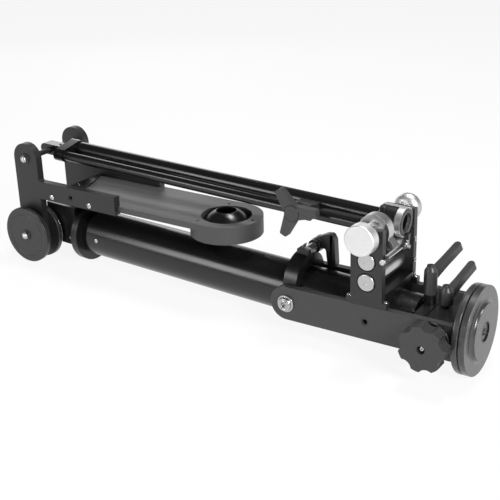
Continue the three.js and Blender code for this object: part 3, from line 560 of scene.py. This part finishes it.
def drag_knob():
    stud, seat, end = DRAG_STUD, 54.5, 80
    flange = [(0, 14), (stud, 14), (stud, seat), (25.6, seat), (27, 55.9), (27, 58.6), (25.6, 60), (19, 60),
              (19, 59.2), (stud, 59.2), (stud, end), (0, end)]
    finished("drag_flange_turned", spun("y", sided(-1, flange), DRAG_AT, FINE), YOKE, black, ["drag_flange"],
             rim_highlight=0.4)
    back, rim, face, lobes = -60.3, -67.3, -88.3, 7
    body = drum("y", 32.3, face, rim, steps=FINE)
    neck = drum("y", 17, rim - 1, back)
    cuts = [drum("y", stud, -90, -59)]
    for i in range(lobes):
        angle = math.radians(180 / lobes + i * 360 / lobes)
        cuts.append(drum("y", 12, -90, rim + 1, (39.6 * math.cos(angle), 0, 39.6 * math.sin(angle)), SMALL))
    finished("drag_knob_milled", moved(joined([body, neck], cuts), DRAG_AT), YOKE, knob_grey, ["drag_knob"],
             rim_highlight=2.6)
    tip = [(0, 80.4), (3.2, 80.4), (3.2, 84.2), (2.6, 84.8), (1.3, 84.8), (1.3, 83.5), (0, 83.5)]
    bright("drag_stud_tip", spun("y", sided(-1, tip), DRAG_AT, SMALL), YOKE, screw_steel, body="drag_knob")


def ratchet_lever(name, foot, tall, flare, turn):
    top, at = foot + tall, (LEVER_AHEAD[name], 0, 0)
    barrel = spun("z", [(0, foot), (flare, foot), (flare, foot + 1.5), (9.3, foot + 12), (8.9, top - 9),
                        (8.2, top - 6.5), (5.6, top - 2.5), (5.4, top), (0, top)], steps=SMALL)
    arm = plate("xy", [(0, -6.4), (30, -5), (65, -5.2), (65, 5.2), (30, 5), (0, 6.4)], -5.6, 5.2,
                {2: 4.6, 3: 4.6}, 8)
    moved(turned_by(arm, -LEVER_RISE, "y"), (0, 0, top - 16.3))
    cuts = [drum("z", LEVER_STUD["bore"], foot - 1, foot + 14, steps=SMALL),
            drum("z", 4.4, top - 2, top + 5, steps=SMALL)]
    lever = turned_by(joined([barrel, arm], cuts), turn, "z")
    finished(f"lock_lever_{name}_cast", moved(lever, at), YOKE, lever_black, [f"lock_lever_{name}"],
             rim_highlight=2.0)
    cap = spun("z", [(0, top - 2), (4.1, top - 2), (4.1, top + 0.2), (3.5, top + 0.7), (1.9, top + 0.7),
                     (1.9, top - 1.4), (0, top - 1.4)], at, SMALL)
    bright(f"lock_lever_{name}_screw", cap, YOKE, dark_steel, body=f"{name}_lever", rim_highlight=0.25)
    stud = drum("z", LEVER_STUD["radius"], BAR["half"] - 14, foot + 13.7, at, SMALL)
    bright(f"lock_stud_{name}_turned", stud, YOKE, dark_steel, [f"lock_stud_{name}"])
    if foot > BAR["half"] + 8:
        spacer = pipe("z", 8.4, 5.2, BAR["half"] + 0.2, foot - 0.4, at, SMALL)
        finished(f"lock_spacer_{name}", spacer, YOKE, black, body="yoke", rim_highlight=0.5)


# ---------------------------------------------------------------- boom
def boom_tubes():
    tube = pipe("x", TUBE["radius"], TUBE["bore"], TUBE["front"], TUBE["back"], steps=FINE)
    finished("boom_tube_drawn", tube, BOOM, tube_black, ["boom_tube"], rim_highlight=0.5)
    plug = [(0, 158), (34.6, 158), (34.6, 176), (31, 176), (30, 174.5), (6, 174.5), (5, 173), (0, 173)]
    finished("boom_plug_moulded", spun("x", plug, steps=FINE), BOOM, knob_black, ["boom_plug"],
             rim_highlight=0.5)
    inner = pipe("x", INNER["radius"], INNER["bore"], INNER["front"], INNER["back"], steps=FINE)
    finished("inner_tube_drawn", inner, BOOM, tube_black, ["inner_tube"], rim_highlight=0.4)
    screws("tube_screw", BOOM, "boom", (3.4, 1.0, 0.5), [(-374, -37.9, 2)], (0, -1, 0))


def clamp_collar():
    big, lift = COLLAR["radius"], COLLAR["lift"]
    pin_at = (-CLAMP_PIN["ahead"], 0, CLAMP_PIN["up"])
    outline = [(-big, -big), (big, -big), (big, lift + big), (-big, lift + big)]
    ring = plate("yz", outline, COLLAR["front"], COLLAR["back"], {0: big, 1: big, 2: big, 3: big}, 24)
    bosses = [drum("y", 16, *span(side, 19, BETWEEN)) for _, side in (NEAR, FAR)]
    lug = block((-10, 8), (-9, 17), (52, 66))
    cuts = [drum("x", TUBE["seat"], -40, 40, steps=FINE), block((-20, 20), (6, 8.5), (0, 70)),
            drum("y", CLAMP_PIN["bore"], 0, 45, pin_at, SMALL),
            *[drum("y", TRUNNION_BORE, *span(side, 38.7, 50)) for _, side in (NEAR, FAR)]]
    finished("clamp_collar_milled", joined([ring, *bosses, lug], cuts), BOOM, black, ["clamp_collar"],
             rim_highlight=1.0)


def collar_lever():
    at, pin = (CLAMP_PIN["ahead"], 0, CLAMP_PIN["up"]), CLAMP_PIN["radius"]
    stud = spun("y", [(0, 0.3), (pin, 0.3), (pin, 46), (pin - 1, 49), (0, 49)], at, SMALL)
    bright("collar_stud_turned", stud, BOOM, steel, ["collar_stud"], rim_highlight=0.4)
    hub = drum("y", 10.5, 27, 43)
    outline = [(-5, -3), (-3, 9.6), (17, 21), (27.5, 17.5), (31.5, -26), (29, -33), (20.5, -33), (17.5, -26),
               (13.5, -1), (6, -8)]
    hook = plate("xz", outline, 29, 40.5, {1: 6, 2: 8, 3: 8, 5: 4.5, 6: 4, 8: 7}, 8)
    body = joined([hub, hook], [drum("y", CLAMP_PIN["bore"], 26, 44)])
    finished("collar_lever_cast", moved(body, at), BOOM, lever_black, ["collar_lever"],
             rim_highlight=1.8)
    finished("collar_washer", pipe("y", 10.2, 7.2, 19.6, 26.6, at, SMALL), BOOM, black, body="boom")


# ---------------------------------------------------------------- head
def head_plates():
    left, right = HEAD_AT - HEAD_HALF, HEAD_AT + HEAD_HALF
    front, back, low, step = FEET["front"], FEET["back"], FEET["low"], FEET["top"]
    outline = [(front, low), (back, low), (back, step), (right, step), (right, HEAD_TOP), (left, HEAD_TOP),
               (left, step), (front, step)]
    for name, side in (NEAR, FAR):
        body = plate("xz", outline, *span(side, BAR["inside"], OUTSIDE))
        cuts = [drum("y", 12.8, *span(side, 40, 60), (HEAD_AT, 0, up)) for up in SHAFT_UP.values()]
        cuts += [drum("y", 13.7, *span(side, OUTSIDE - 3, 60), (HEAD_AT, 0, up)) for up in SHAFT_UP.values()]
        cuts.append(drum("y", PIVOT_STUD["bore"], *span(side, 40, 60), PIVOT_AT))
        finished(f"head_plate_{name}_milled", joined([body], cuts), YOKE, satin, [f"head_plate_{name}"],
                 rim_highlight=0.8)
    feet = [(ahead, away, step - 0.2) for away in (-49, 49) for ahead in (98.5, 152.4)]
    screws("head_foot_screws", YOKE, "boom", (3.6, 1.2, 0.5), feet, (0, 0, 1))
    edges = [(right - 0.2, 49, up) for up in (91, 60, 37.6)]
    screws("head_edge_screws", YOKE, "boom", (3.6, 1.8, 0.7), edges, (1, 0, 0), steel)
    pin = spun("y", [(0, -60.5), (3.4, -60.5), (4, -59.6), (4, -56.6), (3.2, -55.8), (1.8, -55.6), (1.8, 11),
                     (2.6, 11.4), (2.6, 14), (0, 14.6)], (right + 2.2, 0, 96), SMALL)
    bright("head_lock_pin", pin, YOKE, screw_steel, body="boom")
    clips = [block((right + 0.1, right + 4.6), (away, away + 6), (92.4, 99.6)) for away in (-50, 0)]
    bright("head_pin_clips", together(clips), YOKE, dark_steel, body="boom", rim_highlight=0.6)


def head_saddle():
    half = 43.5
    outline = [(-half, -half), (half, -half), (half, 50), (-half, 50)]
    ring = plate("yz", outline, 104, 148, {0: half, 1: half}, 24)
    saddle = joined([ring], [drum("x", TUBE["seat"], 90, 160, steps=FINE)])
    finished("head_saddle_milled", saddle, BOOM, black, ["head_saddle"], rim_highlight=0.8)


def head_shafts():
    reach = OUTSIDE + 1.5
    end = [(0, reach - 0.35), (3, reach - 0.25), (3.4, reach), (11.3, reach), (12.3, reach - 1)]
    profile = sided(-1, end) + list(reversed(end))
    for name, up in SHAFT_UP.items():
        at = (HEAD_AT, 0, up)
        metal = turned_metal(f"head_shaft_{name}_turned", 0.56, at_point(YOKE, at), ACROSS, pitch=600)
        bright(f"head_shaft_{name}_ground", spun("y", profile, at), YOKE, metal, [f"head_shaft_{name}"])


def pivot_parts():
    stud, bore = PIVOT_STUD["radius"], PIVOT_STUD["bore"]
    shaft = [(bore, -43.9), (12.7, -43.9), (12.7, -3.3), (0, -3.3), (0, -29.9), (bore, -29.9), (bore, -43.9)]
    bright("pivot_shaft_ground", spun("y", shaft, PIVOT_AT), YOKE, pivot_turned, ["pivot_shaft"], rim_highlight=0.4)
    ring = drum("y", 22.6, -34, -19, steps=FINE)
    ears = block((0, 35), (-34, -19), (-8.6, 8.6))
    slit = block((0, 37), (-36, -17), (-1.2, 1.2))
    split = joined([turned_by(joined([ring, ears], [slit]), SPLIT, "y")], [drum("y", 13, -36, -17)])
    bright("pivot_ring_milled", moved(split, PIVOT_AT), YOKE, pivot_turned, ["pivot_ring"], rim_highlight=0.8)
    near = [(0, 46), (stud, 46), (stud, 54.5), (14, 54.5), (14, 60.5), (20.7, 60.5), (21.7, 61.5),
            (21.7, 75.6), (20, 77.5), (14, 77.3), (0, 76.9)]
    bright("pivot_knob_near_turned", spun("y", sided(-1, near), PIVOT_AT, FINE), YOKE, face_turned,
           ["pivot_knob_near"], rim_highlight=0.4)
    far = [(0, 39), (stud, 39), (stud, 54.5), (10, 54.5), (10, 61.5), *arc(8, 73.5, 12, 12, -80, 78, 18),
           (5, 85.4), (5, 80), (0, 80)]
    bright("pivot_knob_far_turned", spun("y", far, PIVOT_AT, FINE), YOKE, ball_turned, ["pivot_knob_far"],
           rim_highlight=0.4)
    out, inset, lean = 29.6, 6.1, (-0.69, 0, -0.72)
    ear_x = HEAD_AT + out * math.cos(math.radians(SPLIT))
    ear_z = PIVOT_UP - out * math.sin(math.radians(SPLIT))
    for name, away in (("ring_screw_lower", -30.5), ("ring_screw_upper", -22.5)):
        pinch = facing(screw(2.6, 2.4, 0.5), (ear_x - inset, away, ear_z - inset), lean)
        bright(name, pinch, YOKE, screw_steel, body="boom", rim_highlight=0.2)


def link_clamp():
    line = (0, LINK["away"], LINK["up"])
    pin = (HEAD_AT * math.cos(fold) - PIVOT_UP * math.sin(fold), 0,
           HEAD_AT * math.sin(fold) + PIVOT_UP * math.cos(fold))
    barrel = drum("x", 21, 109, 143, line, FINE)
    stub = drum("y", 10, 18, BETWEEN, pin)
    cuts = [drum("y", PIVOT_STUD["bore"], 37, 50, pin), drum("x", 13, 100, 150, line, FINE)]
    bright("link_clamp_turned", joined([barrel, stub], cuts), BOOM, clamp_turned, ["link_clamp"], rim_highlight=1.2)
    liner = pipe("x", 19.4, 12.9, 142.6, 143.9, line, FINE)
    finished("link_clamp_liner", liner, BOOM, black, body="boom", rim_highlight=0.4)
    cover = joined([pipe("x", 21.8, 21.05, 110, 134, line, FINE)],
                   [block((100, 150), (LINK["away"] - 4, 60), (90, 170))])
    finished("link_clamp_cover", cover, BOOM, black, body="boom", rim_highlight=0.2)
    grip = [(0, 0), (4.6, 0), (4.6, 2.4), (5.2, 3), (5.2, 6), (4, 7.6), (0, 8)]
    finished("link_clamp_screw", spun("z", grip, (114.5, 6, 146.5), SMALL), BOOM, knob_black, body="boom",
             rim_highlight=0.4)
    hanging = spun("z", [(0, 0), (1.8, 0), (3.6, 1.2), (4.3, 3.4), (3.6, 5.8), (2, 7), (2, 21), (0, 21)],
                   (145.6, 22, 92.5), SMALL)
    bright("link_clamp_pin", hanging, BOOM, screw_steel, body="boom", rim_highlight=0.2)
    seat = block((140.5, 147.6), (18.5, 25.5), (106, 115))
    bright("link_clamp_pin_seat", seat, BOOM, dark_steel, body="boom", rim_highlight=0.6)


# ---------------------------------------------------------------- link
def link_tube():
    line = (0, LINK["away"], LINK["up"])
    body = pipe("x", LINK["radius"], LINK["bore"], LINK["front"], LINK["back"], line, FINE)
    finished("link_tube_drawn", body, BOOM, tube_black, ["link_tube"], rim_highlight=0.4)


def twin(low, high, wall):
    """A block round both the tube and the rod: two drums and the plate between them."""
    big, small = LINK["radius"] + wall, ROD["radius"] + wall
    run = Vector((ROD["away"] - LINK["away"], ROD["up"] - LINK["up"]))
    lean = math.acos((big - small) / run.length)
    base = math.atan2(run.y, run.x)
    touch = []
    for centre, radius, turns in ((LINK, big, (1, -1)), (ROD, small, (-1, 1))):
        touch += [(centre["away"] + radius * math.cos(base + turn * lean),
                   centre["up"] + radius * math.sin(base + turn * lean)) for turn in turns]
    return [plate("yz", touch, low, high), drum("x", big, low, high, (0, LINK["away"], LINK["up"])),
            drum("x", small, low, high, (0, ROD["away"], ROD["up"]), SMALL)]


def link_rod():
    shaft = BOOM.inverted() @ (BRACKET @ Vector((0, 0, CROSS_UP)))
    half, back = 9, -465
    left, low, high = shaft.x - 19.5, ROD["up"] - half, ROD["up"] + half
    eye = plate("xz", [(left, low), (back, low), (back, high), (left, high)], -7, 12, {0: half, 3: half}, 14)
    shank = drum("x", ROD["radius"], ROD["front"], ROD["back"], (0, ROD["away"], ROD["up"]))
    cuts = [drum("x", 13, -461.5, -440, (0, LINK["away"], LINK["up"])), drum("y", 5.5, -20, 16, shaft)]
    ends = twin(ROD_BLOCK["front"], ROD_BLOCK["back"], ROD_BLOCK["wall"])
    finished("link_rod_milled", joined([*ends, shank, eye], cuts), BOOM, tube_black, ["link_rod"], rim_highlight=0.8)
    screws("rod_end_screw", BOOM, "link_rod", (2.2, 1.0, 0.4), [(-478, 2.5, high - 0.1)], (0, 0, 1),
           dark_steel)


def link_lock():
    front, back, top = LOCK["front"], LOCK["back"], LOCK["top"]
    round_rod = drum("x", 11.7, front, back, (0, ROD["away"], ROD["up"]))
    bridge = block((front, back), (LOCK["near"], LOCK["far"]), (LOCK["low"], top))
    parts = [drum("y", 12, -31, -26, LOCK_AT), drum("y", 8, -34, -26, LOCK_AT),
             drum("y", 5, -46, -30, LOCK_AT, SMALL)]
    cuts = [drum("x", 13, -22, 24, (0, LINK["away"], LINK["up"])),
            drum("x", 8, -22, 24, (0, ROD["away"], ROD["up"]))]
    finished("link_lock_milled", joined([round_rod, bridge, *parts], cuts), BOOM, satin, ["link_lock"],
             rim_highlight=0.8)
    screws("link_lock_screws", BOOM, "boom", (2.6, 1.0, 0.4), [(-9, -12, top - 0.1), (12, -12, top - 0.1)],
           (0, 0, 1))


def tee_knob():
    back, face, first = -34.3, -47.3, 9
    corners = [(0, -11), (38, -5.6), (38, 5.6), (0, 11)]
    arms = []
    for i in range(3):
        arm = plate("xz", corners, face + 1.6, back - 0.8, {1: 2.4, 2: 2.4}, 5)
        arms.append(turned_by(arm, -(first + i * 120), "y"))
    hub = spun("y", [(0, back), (12.3, back), (12.3, face + 1.4), (11.9, face + 1), (11.6, face + 2.4),
                     (11, face + 2.4), (11, face + 0.4), (10.6, face), (0, face)])
    body = joined([hub, *arms], [drum("y", 5.3, -46.6, -33, steps=SMALL)])
    finished("tee_knob_cast", moved(body, LOCK_AT), BOOM, lever_black, ["tee_knob"],
             rim_highlight=2.2)


# ---------------------------------------------------------------- front fork, axle and discs
def front_fork():
    front, back, wide, arm = FORK["front"], FORK["back"], FORK["wide"], FORK["arm"]
    tip = AXLE_AT[0] - arm
    flange = drum("x", 50, -419, -407, steps=FINE)
    body = block((front, back), (-wide, wide), (FORK["low"], FORK["top"]))
    outline = [(-478, -arm), (-478, arm), (tip, arm), (tip, -arm)]
    arms = [plate("xz", outline, *span(side, 29, 41.6), {2: arm, 3: arm}, 20) for _, side in (NEAR, FAR)]
    cuts = [drum("y", DISC_BORE, -50, 50, AXLE_AT)]
    finished("boom_fork_milled", joined([flange, body, *arms], cuts), BOOM, black, ["boom_fork"], rim_highlight=1.0)
    screws("fork_screw", BOOM, "front", (3.4, 1.2, 0.5), [(-430, -37.9, -4.7)], (0, -1, 0))


def axle_and_discs():
    end = [(7, 0), (7, 79.9), (9, 79.9), (9, 81), (8.6, 81.3), (5, 81.3), (5, 82), (0, 82)]
    bright("front_axle_turned", spun("y", both_ends(end), AXLE_AT), BOOM, dark_steel, ["front_axle"])
    cap_nuts("axle_nuts", AXLE_AT, BOOM, 81.3, "front")
    bore, back, front, rim = DISC_BORE, 71.65, 79.65, 47.4
    face = [(bore, back), (rim, back), (rim, 78.6), (46.3, front), (36.8, front), (36, 78.9), (35.2, front),
            (bore, front), (bore, back)]
    for name, side in (NEAR, FAR):
        outer = spun("y", sided(side, face), AXLE_AT, FINE)
        finished(f"friction_disc_{name}_turned", outer, BOOM, disc_turned, [f"friction_disc_{name}"],
                 rim_highlight=0.5)
        pad = pipe("y", 40, bore, *span(side, 63.3, 71.35), AXLE_AT, FINE)
        finished(f"friction_pad_{name}_cut", pad, BOOM, pad_black, [f"friction_pad_{name}"])
        # A thin bright steel band round the disc's rim near its inner face: the polished edge, with a painted
        # highlight along it.
        rim_highlight_band = pipe("y", 47.1, 46.5, *span(side, 42.3, 43.3), AXLE_AT, FINE)
        bright(f"inner_disc_{name}_edge", rim_highlight_band, BOOM, screw_steel, body="front", rim_highlight=0.1)
        inner = pipe("y", 46.9, bore, *span(side, 41.9, 50), AXLE_AT, FINE)
        finished(f"inner_disc_{name}_turned", inner, BOOM, disc_turned, [f"inner_disc_{name}"], rim_highlight=0.9)


# ---------------------------------------------------------------- camera bracket
def side_plates():
    half, reach, low, top, face = LEG["half"], LEG["reach"], LEG["low"], LEG["top"], LEG["outside"]
    outline = [(-half, -half), (half, -half), (half, low), (reach, low), (reach, top), (half, top),
               (half, CROSS_UP + half), (-half, CROSS_UP + half)]
    rounds = {0: half, 1: half, 5: 3, 6: half, 7: half}
    spare = (94.4, 0, 77.2)
    for name, side in (NEAR, FAR):
        body = plate("xz", outline, *span(side, LEG["inside"], face), rounds, 20)
        through = span(side, 45, 70)
        cuts = [drum("y", DISC_BORE, *through), drum("y", CROSS_RADIUS + GAP, *through, (0, 0, CROSS_UP)),
                drum("y", 3, *through, spare, SMALL), drum("y", 4.6, *span(side, 62.2, 70), spare, SMALL)]
        finished(f"side_plate_{name}_milled", joined([body], cuts), BRACKET, plate_grey,
                 [f"side_plate_{name}"], rim_highlight=0.9)
        heads = [(52.5, side * (face - 0.1), 70.7), (133.5, side * (face - 0.1), 70.7)]
        screws(f"side_screws_{name}", BRACKET, "bracket", (4.4, 1.6, 0.8), heads, (0, side, 0))


def cross_shaft():
    at, radius = (0, 0, CROSS_UP), CROSS_RADIUS
    end = [(radius, 0), (radius, 63.3), (9, 63.3), (9, 64.5), (8.6, 64.9), (5, 64.9), (5, 65.6), (0, 65.6)]
    bright("cross_shaft_turned_steel", spun("y", both_ends(end), at), BRACKET, dark_steel, ["cross_shaft"])
    cap_nuts("cross_shaft_nuts", at, BRACKET, 64.9, "bracket")


def camera_platform():
    front, neck, half, low, top = DECK["front"], DECK["neck"], DECK["half"], DECK["low"], DECK["top"]
    ring_at, radius, holes = RING["at"], RING["radius"], 3
    outline = [(front, -half), (neck, -half), (neck, -radius), (ring_at, -radius), (ring_at, radius),
               (neck, radius), (neck, half), (front, half)]
    at = (ring_at, 0, 0)
    deck = plate("xy", outline, low, top)
    rim = drum("z", radius, RING["low"], top, at, FINE)
    cuts = [drum("z", RING["bore"], 45, 80, at, FINE), drum("z", 40.7, 45, 61.2, at, FINE),
            drum("z", 3, 60, 80, (64, -9, 0), SMALL)]
    for i in range(holes):
        angle = math.radians(i * 360 / holes)
        hole = (ring_at + RING["holes"] * math.cos(angle), RING["holes"] * math.sin(angle), 0)
        cuts.append(drum("z", 2.4, top - 12, 80, hole, SMALL))
    finished("camera_platform_milled", joined([deck, rim], cuts), BRACKET, deck_grey, ["camera_platform"],
             rim_highlight=0.9)


def platform_shade_and_screws():
    """A thin black sheet over the platform's front end, screwed down from above: painted shade on the deck
    beside the side plates.
    """
    # The black sheet is painted shade, where the deck's front end lies dark beside the side plates.
    cover = plate("xy", [(54.4, -49), (96, -49), (62, 49), (54.4, 49)], 77.2, 79, {1: 12}, 10)
    finished("platform_painted_shade_sheet", cover, BRACKET, black, body="bracket", rim_highlight=0.5)
    screws("platform_front_screws", BRACKET, "bracket", (1.7, 0.7, 0.3), [(63.5, -9, 78.9), (59.5, 24, 78.9)],
           (0, 0, 1))


def camera_bowl():
    centre, foot, hole = BOWL["centre"], BOWL["foot"], BOWL["hole"]
    profile = []
    for radius, order in ((BOWL["outside"], 1), (BOWL["inside"], -1)):
        ends = (math.degrees(math.asin(foot / radius)), math.degrees(math.acos(hole / radius)))
        profile += arc(0, centre, radius, radius, *ends[::order], 24)
    profile.append(profile[0])
    bowl = spun("z", profile, (RING["at"], 0, 0), FINE)
    finished("camera_bowl_spun", bowl, BRACKET, black, ["camera_bowl"], rim_highlight=0.5)


tripod_base()
pan_plate()
pan_hub()
yoke_bars()
trunnion_bolts()
drag_knob()
ratchet_lever("front", 39, 40, 10.6, 72)
ratchet_lever("rear", 28.5, 26, 9.6, 75)
boom_tubes()
clamp_collar()
collar_lever()
head_plates()
head_saddle()
head_shafts()
pivot_parts()
link_clamp()
link_tube()
link_rod()
link_lock()
tee_knob()
front_fork()
axle_and_discs()
side_plates()
cross_shaft()
camera_platform()
platform_shade_and_screws()
camera_bowl()


# ---------------------------------------------------------------- studio
def seen_rays(graph):
    """1 for rays from the camera, from mirrors and through glass, else 0."""
    total, *others = [graph.node("ShaderNodeLightPath", out=f"Is {kind} Ray")
                      for kind in ("Camera", "Glossy", "Transmission")]
    for kind in others:
        total = graph.node("ShaderNodeMath", {"operation": "ADD", "use_clamp": True}, [total, kind])
    return total


def white_floor():
    """A white floor that glows towards the camera and still takes a faint shadow."""
    glow_share = 0.9
    ground = bmesh.new()
    bmesh.ops.create_grid(ground, x_segments=1, y_segments=1, size=9)
    floor = loose(ground, "floor")
    paint = Finish("white_floor", Roughness=0.9)
    paint.shader.inputs["Base Color"].default_value = grey(0.85)
    glow = paint.node("ShaderNodeEmission", {}, {"Color": grey(1)})
    share = seen_rays(paint) * glow_share
    mixed = paint.node("ShaderNodeMixShader", {}, [share, Socket(paint, paint.shader.outputs[0]), glow])
    paint.tree.links.new(mixed.socket, paint.tree.nodes["Material Output"].inputs["Surface"])
    floor.data.materials.append(paint.material)


def surroundings():
    """A world that is bright near the horizon, brightest behind the crane, and dim above."""
    least = 0.06
    world = bpy.data.worlds.new("studio")
    bpy.context.scene.world = world
    sky = Graph(world, "Background")
    direction = sky.node("ShaderNodeTexCoord", out="Generated")
    fades = []
    for axis, low, high, at_low, at_high in (("Z", 0.05, 0.42, 1.0, 0.0), ("Y", -0.5, 0.4, 0.3, 1.0)):
        along = sky.node("ShaderNodeSeparateXYZ", {}, [direction], out=axis)
        fades.append(sky.node("ShaderNodeMapRange", {"interpolation_type": "SMOOTHSTEP"},
                              {"Value": along, "From Min": low, "From Max": high, "To Min": at_low,
                               "To Max": at_high}))
    sky.feed("Strength", fades[0] * fades[1] + least)
    sky.shader.inputs["Color"].default_value = grey(1)


def lamps():
    for name, place, aim, size, power in (
        ("key", (1.9, -0.9, 1.3), (0.1, 0, 0.1), 0.7, 44),
        ("fill", (-1.3, -2.1, 0.9), (-0.1, 0, 0.1), 0.9, 18),
        ("top", (0.2, 0.4, 2.1), (0, 0, 0), 0.5, 34),
        ("back", (-1.31, 1.27, 0.76), (-0.2, 0, 0.12), 0.8, 4.5),
    ):
        lamp = bpy.data.lights.new(name, "AREA")
        lamp.size, lamp.energy = size, power
        stand = bpy.data.objects.new(name, lamp)
        stand.location = place
        stand.rotation_euler = (Vector(aim) - Vector(place)).to_track_quat("-Z", "Y").to_euler()
        bpy.context.scene.collection.objects.link(stand)


def camera():
    right = Vector((0.8232, 0.5676, -0.0087)).normalized()
    ahead = Vector((-0.5248, 0.755, -0.3931))
    ahead = (ahead - right * ahead.dot(right)).normalized()
    up = right.cross(ahead)
    lens = bpy.data.cameras.new("camera")
    lens.lens, lens.sensor_width, lens.shift_x, lens.shift_y = 68.35, 36, 0.0474, -0.0222
    stand = bpy.data.objects.new("camera", lens)
    turn = Matrix((right, up, -ahead)).transposed().to_4x4()
    stand.matrix_world = Matrix.Translation(trunnion_place + Vector((0.6195, -1.0925, 0.6162))) @ turn
    bpy.context.scene.collection.objects.link(stand)
    bpy.context.scene.camera = stand


white_floor()
surroundings()
lamps()
camera()
bpy.context.scene.view_settings.view_transform = "Standard"
